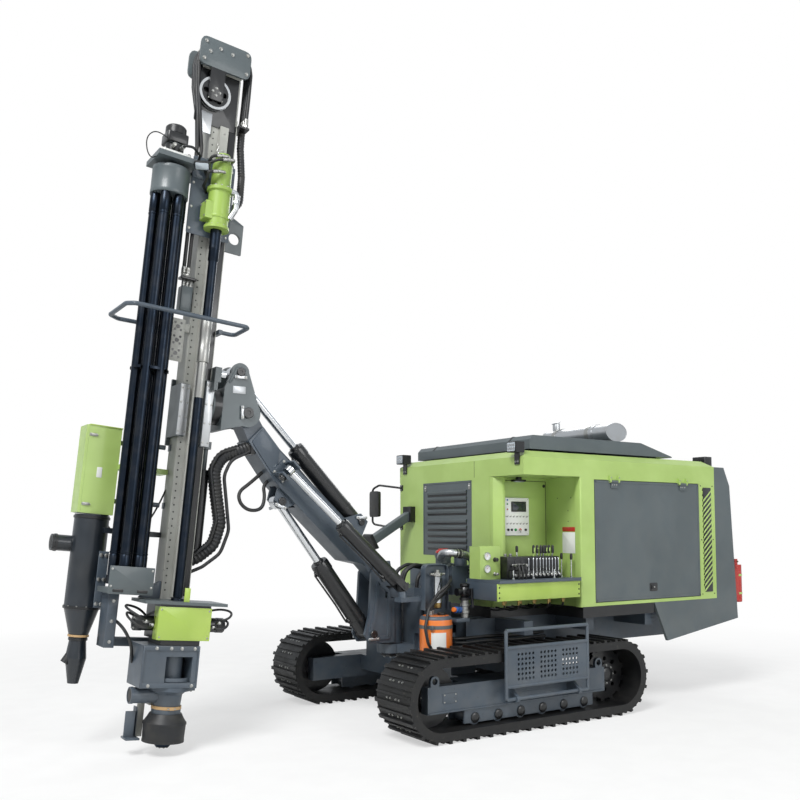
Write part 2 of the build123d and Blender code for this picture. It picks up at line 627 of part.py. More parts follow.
# Boom: a box with a round eye at each end, ears for the lift and tilt cylinders, and on its left
# the clevis of the swing cylinder
foot_eye_half = foot_cheek[0] - side_gap
tip_eye_half = head_cheek[0] - side_gap
lift_ear = (60.0, 85.0)
tilt_ear = (82.0, 107.0)
tilt_pin = 30.0
with BuildPart() as boom:
    with BuildSketch(boom_line):
        Polygon(
            (180, 75), (420, 60), (1480, 10), (1720, 30), (1720, -150), (1320, -215), (340, -180),
            (180, -75),
            align=None,
        )
    extrude(amount=boom_half, both=True)
    block(boom_line, (lift_eye[0] - 130, lift_eye[0] + 130), (-230, -150), (-lift_ear[0], lift_ear[0]),
          mode=Mode.SUBTRACT)
    with BuildSketch(boom_line):
        Circle(90)
        Polygon((0, 90), (240, 70), (240, -90), (0, -90), align=None)
        Circle(foot_pin + turn_gap, mode=Mode.SUBTRACT)
    extrude(amount=foot_eye_half, both=True)
    with BuildSketch(boom_line):
        with Locations((boom_length, 0)):
            Circle(boom_tip_radius)
        Polygon((1650, 25), (boom_length, boom_tip_radius), (boom_length, -boom_tip_radius), (1650, -160),
                align=None)
        with Locations((boom_length, 0)):
            Circle(tip_pin + turn_gap, mode=Mode.SUBTRACT)
    extrude(amount=tip_eye_half, both=True)
    for hand in (1, -1):
        with BuildSketch(boom_line.offset(-hand * lift_ear[1])):
            Polygon((1020, -150), (1290, -150), (1200, -300), (1090, -300), align=None)
        extrude(amount=hand * (lift_ear[1] - lift_ear[0]))
        with BuildSketch(boom_line.offset(-hand * tilt_ear[1])):
            Polygon((380, 40), (640, 40), (540, 205), (440, 205), align=None)
        extrude(amount=hand * (tilt_ear[1] - tilt_ear[0]))
    bar(boom_line, (tilt_base[0], tilt_base[1], -tilt_ear[1] - 12),
        (tilt_base[0], tilt_base[1], tilt_ear[1] + 12), tilt_pin)
    along, left, above = swing_eye
    block(boom_line, (along - 70, along + 70), (above - 80, above + 80), (-boom_half - 12, -boom_half))
    for low in (60, -76):
        block(boom_line, (along - 45, along + 45), (above + low, above + low + 16),
              (-left - 50, -boom_half))
write(boom.part, "boom")


def place_on_boom(along, above, left=0.0):
    """A point given along the boom, above its pin line and to its left."""
    return boom_line.from_local_coords(Vector(along, above, -left))


# Lift and tilt cylinders: a barrel on its base pin and a rod that ends in an eye
# columns: name, base point, eye point, barrel length, barrel radius, base eye half width, pin radius, travel in
cylinder_rod = 35.0
rod_eye = (62.0, 45.0)          # radius and half width
cylinders = [
    ("lift", Vector(base_x, 0, base_z), place_on_boom(*lift_eye), 800, 75, foot_cheek[0] - side_gap, 35, 445),
    ("tilt", place_on_boom(*tilt_base), Vector(tilt_eye[0], 0, tilt_eye[1]), 870, 72,
     tilt_ear[0] - side_gap, tilt_pin, 500),
]
for name, base, eye, barrel_length, barrel_radius, eye_half, pin_radius, travel_in in cylinders:
    axis = eye - base
    line = Plane(origin=base, x_dir=(0, 1, 0), z_dir=axis)
    rod_tail = barrel_length - 190.0
    with BuildPart() as barrel:
        with BuildSketch(side(0, base.X, base.Z)):
            Circle(barrel_radius * 0.85)
        extrude(amount=eye_half, both=True)
        with BuildSketch(line.offset(barrel_radius * 0.6)):
            Circle(barrel_radius)
        extrude(amount=barrel_length - barrel_radius * 0.6)
        with BuildSketch(line.offset(rod_tail - travel_in - 30)):
            Circle(cylinder_rod + turn_gap)
        extrude(amount=barrel_length, mode=Mode.SUBTRACT)
        with BuildSketch(side(0, base.X, base.Z)):
            Circle(pin_radius + turn_gap)
        extrude(amount=eye_half + 1, both=True, mode=Mode.SUBTRACT)
    write(barrel.part, f"{name}_barrel")
    with BuildPart() as rod:
        with BuildSketch(line.offset(rod_tail)):
            Circle(cylinder_rod)
        extrude(amount=axis.length - rod_tail)
        with BuildSketch(side(0, eye.X, eye.Z)):
            Circle(rod_eye[0])
        extrude(amount=rod_eye[1], both=True)
    write(rod.part, f"{name}_rod")

# Swing cylinder on the boom's left, forked over a knuckle at its base
swing_eye_point = place_on_boom(swing_eye[0], swing_eye[2], swing_eye[1])
swing_reach = swing_eye_point - Vector(*swing_base)
swing_line = Plane(origin=swing_base, x_dir=knuckle.y_dir, z_dir=swing_reach)
swing_side = Plane(origin=swing_base, x_dir=swing_reach, z_dir=knuckle.y_dir * -1)
fork = (knuckle_half + side_gap, knuckle_half + side_gap + 20)
swing_barrel_length, swing_tail, swing_rod_radius, swing_barrel_radius = 800.0, 600.0, 30.0, 60.0
fork_pin = 18.0
with BuildPart() as swing_knuckle:
    block(knuckle, (-knuckle_half, knuckle_half), (-knuckle_half, knuckle_half),
          (-knuckle_half - 4, knuckle_half))
    bar(knuckle, (0, 0, -118), (0, 0, -knuckle_half), knuckle_pin)
    bar(knuckle, (0, -fork[1] - 6, 0), (0, fork[1] + 6, 0), fork_pin)
write(swing_knuckle.part, "swing_knuckle")

with BuildPart() as swing_barrel:
    for start in (fork[0], -fork[1]):
        with BuildSketch(swing_side.offset(start)):
            Circle(34)
            with Locations((50, 0)):
                Rectangle(100, 68)
            Circle(fork_pin + turn_gap, mode=Mode.SUBTRACT)
        extrude(amount=fork[1] - fork[0])
    with BuildSketch(swing_line.offset(85)):
        Circle(swing_barrel_radius)
    extrude(amount=swing_barrel_length - 85)
    with BuildSketch(swing_line.offset(swing_tail - 170)):
        Circle(swing_rod_radius + turn_gap)
    extrude(amount=swing_barrel_length, mode=Mode.SUBTRACT)
write(swing_barrel.part, "swing_barrel")

with BuildPart() as swing_rod:
    with BuildSketch(swing_line.offset(swing_tail)):
        Circle(swing_rod_radius)
    extrude(amount=swing_reach.length - swing_tail)
    bar(boom_line, (swing_eye[0], swing_eye[2] - 24, -swing_eye[1]),
        (swing_eye[0], swing_eye[2] + 24, -swing_eye[1]), 45)
write(swing_rod.part, "swing_rod")

# Head bracket: two cheeks from the boom tip to the tilt cylinder's eye, the front plate that carries
# the mast's swing pin, and at the right the arm of the feed swing cylinder
plate_thick = 30.0
lug_x = ((-232.0, -216.0), (-164.0, -148.0))
swing_y = feed_swing_base[1]
tip = place_on_boom(boom_length, 0)
plate_low = mast.from_local_coords(Vector(bracket_face, 0, plate_span[0]))
plate_high = mast.from_local_coords(Vector(bracket_face, 0, plate_span[1]))
with BuildPart() as head_bracket:
    for hand in (1, -1):
        with BuildSketch(side(hand * head_cheek[1])):
            with Locations((tilt_eye[0], tilt_eye[1])):
                Circle(75)
            with Locations((tip.X, tip.Z)):
                Circle(115)
            Polygon(
                (tilt_eye[0] - 60, tilt_eye[1] + 45), (tilt_eye[0] + 40, tilt_eye[1] + 63),
                (plate_high.X, plate_high.Z), (plate_low.X, plate_low.Z), (tip.X + 40, tip.Z - 108),
                (tip.X - 112, tip.Z + 20),
                align=None,
            )
        extrude(amount=hand * (head_cheek[1] - head_cheek[0]))
    block(mast, (bracket_face - plate_thick, bracket_face), (-head_cheek[1], head_cheek[1]), plate_span)
    bar(mast, (bracket_face - plate_thick - 1, 0, swivel_height), (bracket_face + 1, 0, swivel_height),
        swivel_pin + turn_gap, mode=Mode.SUBTRACT)
    bar(ground, (tip.X, -head_cheek[1] - 14, tip.Z), (tip.X, head_cheek[1] + 14, tip.Z), tip_pin)
    block(mast, (bracket_face - plate_thick, bracket_face), (swing_y - 45, -head_cheek[0]),
          (plate_span[1] - 60, plate_span[1]))
    block(mast, (bracket_face - plate_thick, lug_x[1][1]), (swing_y - 45, swing_y + 45),
          (plate_span[1] - 10, swing_height - 60))
    for span in lug_x:
        with BuildSketch(mast_front(span[0])):
            with Locations((swing_y, swing_height)):
                Circle(38)
            with Locations((swing_y, swing_height - 35)):
                Rectangle(76, 70)
        extrude(amount=span[1] - span[0])
    bar(mast, (lug_x[0][0], swing_y, swing_height), (lug_x[1][1], swing_y, swing_height), 16)
write(head_bracket.part, "head_bracket")

# Feed swing cylinder, across the mast behind the beam
feed_start = mast.from_local_coords(Vector(*feed_swing_base))
feed_reach = mast.from_local_coords(Vector(*feed_swing_eye)) - feed_start
feed_line = Plane(origin=feed_start, x_dir=mast.x_dir, z_dir=feed_reach)
feed_eye_half = 20.0
feed_barrel_length, feed_tail = 350.0, 200.0
with BuildPart() as feed_swing_barrel:
    bar(mast, (feed_swing_x - feed_eye_half, swing_y, swing_height),
        (feed_swing_x + feed_eye_half, swing_y, swing_height), 32)
    with BuildSketch(feed_line.offset(42)):
        Circle(36)
    extrude(amount=feed_barrel_length - 42)
    with BuildSketch(feed_line.offset(20)):
        Circle(18)
    extrude(amount=30)
    with BuildSketch(feed_line.offset(65)):
        Circle(18 + turn_gap)
    extrude(amount=feed_barrel_length, mode=Mode.SUBTRACT)
    bar(mast, (feed_swing_x - 100, swing_y, swing_height), (feed_swing_x + 100, swing_y, swing_height),
        16 + turn_gap, mode=Mode.SUBTRACT)
write(feed_swing_barrel.part, "feed_swing_barrel")
with BuildPart() as feed_swing_rod:
    with BuildSketch(feed_line.offset(feed_tail)):
        Circle(18)
    extrude(amount=feed_reach.length - feed_tail)
    bar(mast, (feed_swing_eye[0] - feed_eye_half, feed_swing_eye[1], swing_height),
        (feed_swing_eye[0] + feed_eye_half, feed_swing_eye[1], swing_height), 34)
write(feed_swing_rod.part, "feed_swing_rod")

# Cradle: a collar that turns on the head bracket, holds the feed beam between its pads and carries
# the compensation cylinder's rod
beam_front_x, beam_back_x = beam_depth / 2, -beam_depth / 2
slide_gap = 1.0
pad_thick = 26.0
pad_inner = 70.0                # how near the beam's middle the pads reach
collar = beam_half + slide_gap
with BuildPart() as feed_cradle:
    block(mast, cradle_plate, (-collar - pad_thick, collar + pad_thick), (cradle_low, cradle_high))
    block(mast, (cradle_plate[0], -pad_inner), (collar, collar + pad_thick), (cradle_low, cradle_high))
    block(mast, (cradle_plate[0], beam_front_x + slide_gap + pad_thick), (-collar - pad_thick, -collar),
          (cradle_low, cradle_high))
    block(mast, (beam_front_x + slide_gap, beam_front_x + slide_gap + pad_thick),
          (-collar - pad_thick, collar + pad_thick), (cradle_low + 60, cradle_high - 60))
    block(mast, (pad_inner, beam_front_x + slide_gap + pad_thick), (collar, collar + pad_thick),
          (cradle_low + 60, cradle_high - 60))
    bar(mast, (bracket_face + turn_gap, 0, swivel_height), (cradle_plate[0] + 1, 0, swivel_height),
        swivel_disc)
    bar(mast, (bracket_face - plate_thick - 12, 0, swivel_height),
        (bracket_face + 10, 0, swivel_height), swivel_pin)
    block(mast, (lug_x[1][0], cradle_plate[1]), (feed_swing_eye[1] - 45, feed_swing_eye[1] + 45),
          (cradle_high - 10, swing_height + 45))
    block(mast, (cradle_plate[0], cradle_plate[1]), (collar, feed_swing_eye[1] + 45),
          (cradle_high - 80, cradle_high))
    block(mast, (slide_x - 30, cradle_plate[0] + 1), (-40, 40), (cradle_low, cradle_low + 60))
    bar(mast, (slide_x, 0, slide_low + 170), (slide_x, 0, cradle_low + 1), 20)
write(feed_cradle.part, "feed_cradle")

with BuildPart() as slide_barrel:
    bar(mast, (slide_x, 0, slide_low), (slide_x, 0, slide_high), 45)
    bar(mast, (slide_x, 0, slide_low + 10), (slide_x, 0, slide_high + 1), 20 + turn_gap, mode=Mode.SUBTRACT)
    block(mast, (slide_x - 50, beam_back_x), (-50, 50), (slide_low - 60, slide_low))
write(slide_barrel.part, "slide_barrel")

# Feed beam with the carriage's rail on its left face, and the mast head's plates round the sheave
head_x = (-150.0, 286.0)
head_s = (5445.0, 5685.0)
head_y = 150.0                  # the left plate's inner face
sheave_x, sheave_s = 120.0, 5250.0
sheave_radius, sheave_pin = 130.0, 20.0
rail_half, rail_top = 35.0, 30.0
plate_thickness = 22.0
bracket_s, bracket_out, bracket_depth = 4100.0, 260.0, 30.0
with BuildPart() as feed_beam:
    with BuildSketch(mast_section(beam_low)):
        RectangleRounded(beam_depth, 2 * beam_half, 10)
        Rectangle(beam_depth - 2 * beam_wall, 2 * beam_half - 2 * beam_wall, mode=Mode.SUBTRACT)
    extrude(amount=beam_high - beam_low)
    block(mast, (-rail_half, rail_half), (beam_half - 1, beam_half + rail_top), (1150, 5000))
    head_plates = ((-beam_half - 30, -beam_half - 5), (head_y, head_y + 20))
    for plate in head_plates:
        with BuildSketch(mast_side(plate[0])):
            with Locations(((head_x[0] + head_x[1]) / 2, (head_s[0] + head_s[1]) / 2)):
                RectangleRounded(head_x[1] - head_x[0], head_s[1] - head_s[0], 60)
        extrude(amount=-(plate[1] - plate[0]))
    block(mast, (head_x[0] + 50, head_x[1] - 50), (head_plates[0][0], head_plates[1][1]),
          (beam_high, beam_high + 20))
    block(mast, (head_x[0] + 60, head_x[1] - 60), (head_plates[0][0], head_plates[1][1]),
          (head_s[1] - 20, head_s[1]))
    block(mast, (-beam_depth / 2, beam_depth / 2), (head_plates[0][0], -beam_half + 1), (5150, head_s[1] - 60))
    bar(mast, (sheave_x, -beam_half - 20, sheave_s), (sheave_x, head_y + 1, sheave_s), sheave_pin)
    block(mast, (sheave_x - 60, sheave_x + 60), (head_y, head_y + 20), (sheave_s - 70, head_s[0] + 60))
    with BuildSketch(mast_side(beam_half - bracket_depth)):
        Polygon((-beam_depth / 2 + 1, bracket_s + 200), (-bracket_out, bracket_s + 130),
                (-bracket_out, bracket_s - 120), (-beam_depth / 2 + 1, bracket_s - 120), align=None)
        with Locations((-190, bracket_s)):
            Circle(50, mode=Mode.SUBTRACT)
    extrude(amount=-plate_thickness)
write(feed_beam.part, "feed_beam")

with BuildPart() as hose_sheave:
    with BuildSketch(mast_side(beam_half + 50)):
        with Locations((sheave_x, sheave_s)):
            Circle(sheave_radius)
            Circle(sheave_pin + turn_gap, mode=Mode.SUBTRACT)
            with PolarLocations(sheave_radius * 0.6, 6):
                Circle(22, mode=Mode.SUBTRACT)
    extrude(amount=40)
write(hose_sheave.part, "hose_sheave")

# Carriage on the rail, rotary head and spindle
plate_y = beam_half + rail_top + move_gap
shoe_low = beam_half + 10
seat_x, seat_y = (drill_x - 60, drill_x + 60), drill_y - 40     # the head's seat on the carriage
seat_s = (carriage_low + 200, carriage_low + 320)
drill_plane = Plane(origin=mast.from_local_coords(Vector(drill_x, drill_y, 0)), x_dir=mast.x_dir,
                    z_dir=mast.y_dir * -1)
drill_axis = Axis(mast.from_local_coords(Vector(drill_x, drill_y, 0)), mast.z_dir)
with BuildPart() as carriage:
    block(mast, (-100, 130), (plate_y, plate_y + plate_thickness), (carriage_low, carriage_high))
    for s in (carriage_low + 20, carriage_high - 120):
        for hand in (1, -1):
            near, far = sorted((hand * (rail_half + turn_gap), hand * (rail_half + 25)))
            block(mast, (near, far), (shoe_low, plate_y + 1), (s, s + 100))
    block(mast, seat_x, (plate_y + plate_thickness - 1, seat_y), seat_s)
write(carriage.part, "carriage")
head_low = 25.0
# columns: radius, height above the carriage's low end
head_profile = [
    (0, head_low), (100, head_low), (100, 50), (88, 60), (88, 330), (104, 340), (104, 366), (80, 376), (80, 560),
    (62, 590), (62, 625), (0, 625),
]
with BuildPart() as rotary_head:
    with BuildSketch(drill_plane) as half_profile:
        Polygon(*[(radius, carriage_low + height) for radius, height in head_profile], align=None)
    revolve(axis=drill_axis)
    block(mast, (-300, 300), (0, plate_y + plate_thickness), (carriage_low - 1, carriage_high + 1),
          mode=Mode.SUBTRACT)
    block(mast, seat_x, (plate_y, seat_y), seat_s, mode=Mode.SUBTRACT)
    block(mast, (drill_x + 60, drill_x + 125), (drill_y - 60, drill_y + 60), (carriage_low + 90, carriage_low + 230))
write(rotary_head.part, "rotary_head")
spindle_reach, spindle_radius = 130.0, 45.0
with BuildPart() as spindle:
    bar(mast, (drill_x, drill_y, carriage_low - spindle_reach),
        (drill_x, drill_y, carriage_low + head_low - turn_gap), spindle_radius)
write(spindle.part, "spindle")

# Magazine: rods round a shaft between the arms of its frame, with a drum above, a guide disc in
# the middle and cups below
arm_low, arm_high = (1160.0, 1200.0), (4530.0, 4570.0)
drum_span = (4270.0, 4490.0)
cup_span = (1225.0, 1290.0)
disc_span = (2860.0, 2880.0)
drum_radius = 145.0
shaft_radius = 30.0
rods_from, rods_to = cup_span[1], drum_span[0]
with BuildPart() as magazine_drum:
    bar(mast, (magazine_x, magazine_y, arm_low[1] + turn_gap),
        (magazine_x, magazine_y, arm_high[0] - turn_gap), shaft_radius)
    bar(mast, (magazine_x, magazine_y, drum_span[0]), (magazine_x, magazine_y, drum_span[1]), drum_radius)
    bar(mast, (magazine_x, magazine_y, cup_span[0]), (magazine_x, magazine_y, cup_span[1]), drum_radius)
    with BuildSketch(mast_section(disc_span[0], magazine_x, magazine_y)):
        Circle(drum_radius)
        with PolarLocations(magazine_pitch, rod_count):
            Circle(rod_radius + side_gap / 2, mode=Mode.SUBTRACT)
            Rectangle(2 * (drum_radius - magazine_pitch), 2 * rod_radius, mode=Mode.SUBTRACT,
                      align=(Align.MIN, Align.CENTER))
    extrude(amount=disc_span[1] - disc_span[0])
write(magazine_drum.part, "magazine_drum")
with BuildPart() as drill_rods:
    with BuildSketch(mast_section(rods_from, magazine_x, magazine_y)):
        with PolarLocations(magazine_pitch, rod_count):
            Circle(rod_radius)
    extrude(amount=rods_to - rods_from)
write(drill_rods.part, "drill_rods")
motor_top = 4740.0
frame_arm = 160.0
with BuildPart() as magazine_frame:
    for low, high in (arm_high, arm_low):
        block(mast, (beam_front_x, magazine_x - frame_arm + 30), (-90, 60), (low, high))
        block(mast, (magazine_x - frame_arm, magazine_x + frame_arm), (magazine_y - frame_arm, magazine_y + frame_arm),
              (low, high))
    bar(mast, (magazine_x, magazine_y, arm_high[1]), (magazine_x, magazine_y, motor_top), 72)
    block(mast, (magazine_x + 40, magazine_x + 110), (-60, magazine_y), (760, arm_low[0]))
    block(mast, (beam_front_x, magazine_x + 110), (-60, 0), (760, 820))
write(magazine_frame.part, "magazine_frame")

# Guard hoop of bent tube round the magazine
hoop_radius = 17.0
# columns: forward of the beam's middle, to its left
hoop_points = [
    (-125, 150), (-250, 150), (-235, 480), (650, 440), (700, 380), (700, -40), (620, -110), (125, -60),
]
with BuildPart() as hoop_guard:
    with BuildLine():
        FilletPolyline(*[mast.from_local_coords(Vector(x, y, hoop_height)) for x, y in hoop_points], radius=45)
    with BuildSketch(Plane(origin=mast.from_local_coords(Vector(*hoop_points[0], hoop_height)),
                           z_dir=mast.x_dir * -1)):
        Circle(hoop_radius)
    sweep()
    block(mast, (beam_back_x - 30, beam_back_x), (50, 168), (hoop_height - 18, hoop_height + 18))
    block(mast, (beam_front_x, beam_front_x + 20), (-85, -30), (hoop_height - 30, hoop_height + 30))
write(hoop_guard.part, "hoop_guard")

# Foot: clamps under their table, the guide box, suction hood and skirt round the drill line
table_span = (1110.0, 1130.0)
clamp_low = 850.0
guide_low, guide_high = 500.0, 807.0
hammer_hole = 68.0
hood_radius = 150.0
with BuildPart() as clamp_unit:
    block(mast, (-180, 205), (beam_half, 412), (clamp_low, table_span[0]))
    block(mast, (-300, 330), (beam_half, 440), table_span)
    bar(mast, (-330, 300, 960), (-175, 300, 960), 52)
    bar(mast, (200, 300, 960), (360, 300, 960), 52)
    bar(mast, (drill_x, drill_y, clamp_low - 1), (drill_x, drill_y, table_span[1] + 1), hammer_hole,
        mode=Mode.SUBTRACT)
    block(mast, (-183, 220), (412, 428), (clamp_low, table_span[0] - 20))
    block(mast, (-130, 170), (beam_half, 380), (guide_high, clamp_low))
    bar(mast, (drill_x, drill_y, guide_high - 1), (drill_x, drill_y, clamp_low + 1), hammer_hole,
        mode=Mode.SUBTRACT)
write(clamp_unit.part, "clamp_unit")
# columns: radius, height along the mast
hood_profile = [
    (hammer_hole, guide_low), (hood_radius, guide_low), (hood_radius, guide_low - 30), (130, guide_low - 40), (108, 440),
    (100, 345),
    (108, 335), (108, 300), (hammer_hole, 300),
]
with BuildPart() as suction_hood:
    block(mast, (-131, 300), (beam_half, 400), (guide_low, guide_high))
    block(mast, (-80, 120), (beam_half + 30, 401), (guide_low + 40, guide_high - 80), mode=Mode.SUBTRACT)
    bar(mast, (drill_x, drill_y, guide_low + 39), (drill_x, drill_y, guide_high - 79), 85)
    with BuildSketch(drill_plane):
        Polygon(*hood_profile, align=None)
    revolve(axis=drill_axis)
    bar(mast, (drill_x + 90, drill_y, 430), (drill_x + 285, drill_y, 430), 58)
    bar(mast, (drill_x, drill_y, 299), (drill_x, drill_y, guide_high + 1), hammer_hole, mode=Mode.SUBTRACT)
write(suction_hood.part, "suction_hood")
skirt_profile = [(84, 300), (118, 300), (134, 270), (158, 235), (152, 95), (140, 95), (146, 225), (118, 262), (84, 262)]
with BuildPart() as hood_skirt:
    with BuildSketch(drill_plane):
        Polygon(*skirt_profile, align=None)
    revolve(axis=drill_axis)
write(hood_skirt.part, "hood_skirt")

# Dust collector and cabinet in front of the beam, right of the magazine
# columns: radius, height along the mast
collector_profile = [
    (0, 444), (40, 450), (78, 640), (62, 780), (128, 1010), (collector_radius, 1020),
    (collector_radius, collector_top), (0, collector_top),
]
collector_plane = Plane(origin=mast.from_local_coords(Vector(collector_x, collector_y, 0)), x_dir=mast.x_dir,
                        z_dir=mast.y_dir * -1)
collector_axis = Axis(mast.from_local_coords(Vector(collector_x, collector_y, 0)), mast.z_dir)
with BuildPart() as dust_collector:
    with BuildSketch(collector_plane):
        Polygon(*collector_profile, align=None)
    revolve(axis=collector_axis)
    bar(mast, (collector_x, collector_y - 60, 1500), (collector_x + 270, collector_y - 60, 1500), 62)
    block(mast, (beam_front_x, collector_x - 60), (collector_y - 20, -50), (1600, 1640))
write(dust_collector.part, "dust_collector")
cabinet_x, cabinet_y, cabinet_s = cabinet
door_thick = 22.0
with BuildPart() as control_cabinet:
    block(mast, (cabinet_x[0], cabinet_x[1] - door_thick), cabinet_y, cabinet_s)
    block(mast, (beam_front_x, cabinet_x[0] + 1), (cabinet_y[1] - 110, -50), (2100, 2140))
write(control_cabinet.part, "control_cabinet")
hinge_x, hinge_y = cabinet_x[1] - door_thick / 2, cabinet_y[0] - 10
with BuildPart() as cabinet_door:
    block(mast, (cabinet_x[1] - door_thick + 1, cabinet_x[1]), cabinet_y, (cabinet_s[0] + 2, cabinet_s[1] - 2))
    for s in (cabinet_s[0] + 80, cabinet_s[1] - 140):
        bar(mast, (hinge_x, hinge_y, s), (hinge_x, hinge_y, s + 60), 9)
        block(mast, (hinge_x - 4, hinge_x + 4), (hinge_y, cabinet_y[0] + 1), (s, s + 60))
write(cabinet_door.part, "cabinet_door")
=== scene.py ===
import json
import math

import bpy
import numpy as np
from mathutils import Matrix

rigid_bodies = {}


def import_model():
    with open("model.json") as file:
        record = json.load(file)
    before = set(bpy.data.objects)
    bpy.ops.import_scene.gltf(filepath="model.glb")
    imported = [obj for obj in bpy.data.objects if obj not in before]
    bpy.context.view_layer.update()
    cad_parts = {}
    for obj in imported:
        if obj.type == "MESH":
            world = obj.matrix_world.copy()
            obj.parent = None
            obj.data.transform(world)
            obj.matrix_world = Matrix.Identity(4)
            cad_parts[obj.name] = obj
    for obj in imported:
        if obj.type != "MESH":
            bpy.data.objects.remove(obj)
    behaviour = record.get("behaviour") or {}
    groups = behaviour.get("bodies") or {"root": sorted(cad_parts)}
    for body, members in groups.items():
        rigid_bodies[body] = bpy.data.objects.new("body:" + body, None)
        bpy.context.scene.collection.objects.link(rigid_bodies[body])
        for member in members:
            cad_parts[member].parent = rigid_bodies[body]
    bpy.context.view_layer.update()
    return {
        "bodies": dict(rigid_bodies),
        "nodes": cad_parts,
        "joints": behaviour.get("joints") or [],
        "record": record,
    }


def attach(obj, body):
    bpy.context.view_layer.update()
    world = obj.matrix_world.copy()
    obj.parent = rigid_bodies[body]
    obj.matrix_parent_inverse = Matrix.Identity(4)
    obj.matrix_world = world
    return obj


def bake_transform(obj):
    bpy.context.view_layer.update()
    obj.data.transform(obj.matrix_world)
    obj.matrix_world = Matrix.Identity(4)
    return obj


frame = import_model()

# Lengths are in metres, +X forward, +Y to the machine's left and +Z up, as in the frame.

# Camera: the photograph was taken from the front left, at eye height
PICTURE = 800.0
focal_px = 885.0
principal_y = 466.0
camera_place = (4.903, 6.837, 1.68)
camera_heading = math.atan2(-0.834, -0.552)
camera_pitch = math.radians(4.0)
SENSOR = 36.0

camera_data = bpy.data.cameras.new("camera")
camera_data.sensor_width = SENSOR
camera_data.lens = SENSOR * focal_px / PICTURE
camera_data.shift_y = (principal_y - PICTURE / 2) / PICTURE
camera_data.clip_end = 200.0
camera = bpy.data.objects.new("camera", camera_data)
camera.location = camera_place
camera.rotation_euler = (math.pi / 2 + camera_pitch, 0.0, camera_heading - math.pi / 2)
bpy.context.collection.objects.link(camera)
bpy.context.scene.camera = camera
bpy.context.scene.view_settings.view_transform = "Standard"


def colour(code):
    """An sRGB hex code as a linear colour with alpha."""
    srgb = np.array([int(code[i:i + 2], 16) for i in (0, 2, 4)]) / 255.0
    linear = np.where(srgb <= 0.04045, srgb / 12.92, ((srgb + 0.055) / 1.055) ** 2.4)
    return (*linear.tolist(), 1.0)


def add(tree, kind, inputs=None, **settings):
    """A node with its settings, and with each named or numbered input set or linked."""
    node = tree.nodes.new(kind)
    for key, value in settings.items():
        setattr(node, key, value)
    for socket, source in (inputs or {}).items():
        if isinstance(source, bpy.types.NodeSocket):
            tree.links.new(source, node.inputs[socket])
        else:
            node.inputs[socket].default_value = source
    return node


def new_material(name):
    """An empty material with its tree, its output and the object coordinates."""
    material = bpy.data.materials.new(name)
    material.use_nodes = True
    tree = material.node_tree
    tree.nodes.clear()
    output = add(tree, "ShaderNodeOutputMaterial")
    place = add(tree, "ShaderNodeTexCoord").outputs["Object"]
    return material, tree, output, place


def patches(tree, place, size_mm, detail=3.0, low=0.4, high=0.6):
    """Soft patches about size_mm across, from 0 to 1."""
    noise = add(tree, "ShaderNodeTexNoise", {"Vector": place, "Scale": 1000.0 / size_mm, "Detail": detail})
    return add(tree, "ShaderNodeMapRange",
               {"Value": noise.outputs["Fac"], "From Min": low, "From Max": high}).outputs["Result"]


def blended(tree, amount, first, second):
    """Two colours mixed by an amount."""
    mix = add(tree, "ShaderNodeMix", {0: amount, 6: first, 7: second}, data_type="RGBA")
    return mix.outputs[2]


def times(tree, a, b):
    """The product of two values."""
    return add(tree, "ShaderNodeMath", {0: a, 1: b}, operation="MULTIPLY").outputs["Value"]


DUST = "A39B8C"


def coat(name, tint, shade, roughness, grain_mm, bump_mm, dust, metallic=0.0, coat_weight=0.0,
         chips="", chip_amount=0.0):
    """A coat of paint: tint and shade in wide patches, orange peel as fine bumps, road dust that
    thickens towards the ground, and chips that show what lies under the coat."""
    material, tree, output, place = new_material(name)
    wide = patches(tree, place, 420.0)
    base = blended(tree, wide, colour(tint), colour(shade))
    height = add(tree, "ShaderNodeSeparateXYZ", {"Vector": place}).outputs["Z"]
    low = add(tree, "ShaderNodeMapRange",
              {"Value": height, "From Min": 2.2, "From Max": 0.1, "To Min": 0.25, "To Max": 1.0})
    film = patches(tree, place, 160.0, 5.0, 0.35, 0.75)
    dusty = times(tree, times(tree, film, low.outputs["Result"]), dust)
    base = blended(tree, dusty, base, colour(DUST))
    if chips:
        spots = patches(tree, place, 34.0, 6.0, 0.66, 0.70)
        base = blended(tree, times(tree, spots, chip_amount), base, colour(chips))
    matt = add(tree, "ShaderNodeMapRange",
               {"Value": film, "To Min": roughness - 0.05, "To Max": roughness + 0.14})
    peel = add(tree, "ShaderNodeTexNoise", {"Vector": place, "Scale": 1000.0 / grain_mm, "Detail": 2.0})
    bump = add(tree, "ShaderNodeBump",
               {"Height": peel.outputs["Fac"], "Distance": bump_mm / 1000.0, "Strength": 0.6})
    shader = add(tree, "ShaderNodeBsdfPrincipled",
                 {"Base Color": base, "Roughness": matt.outputs["Result"], "Normal": bump.outputs["Normal"],
                  "Metallic": metallic, "Coat Weight": coat_weight, "Coat Roughness": 0.12, "IOR": 1.5})
    tree.links.new(shader.outputs["BSDF"], output.inputs["Surface"])
    return material


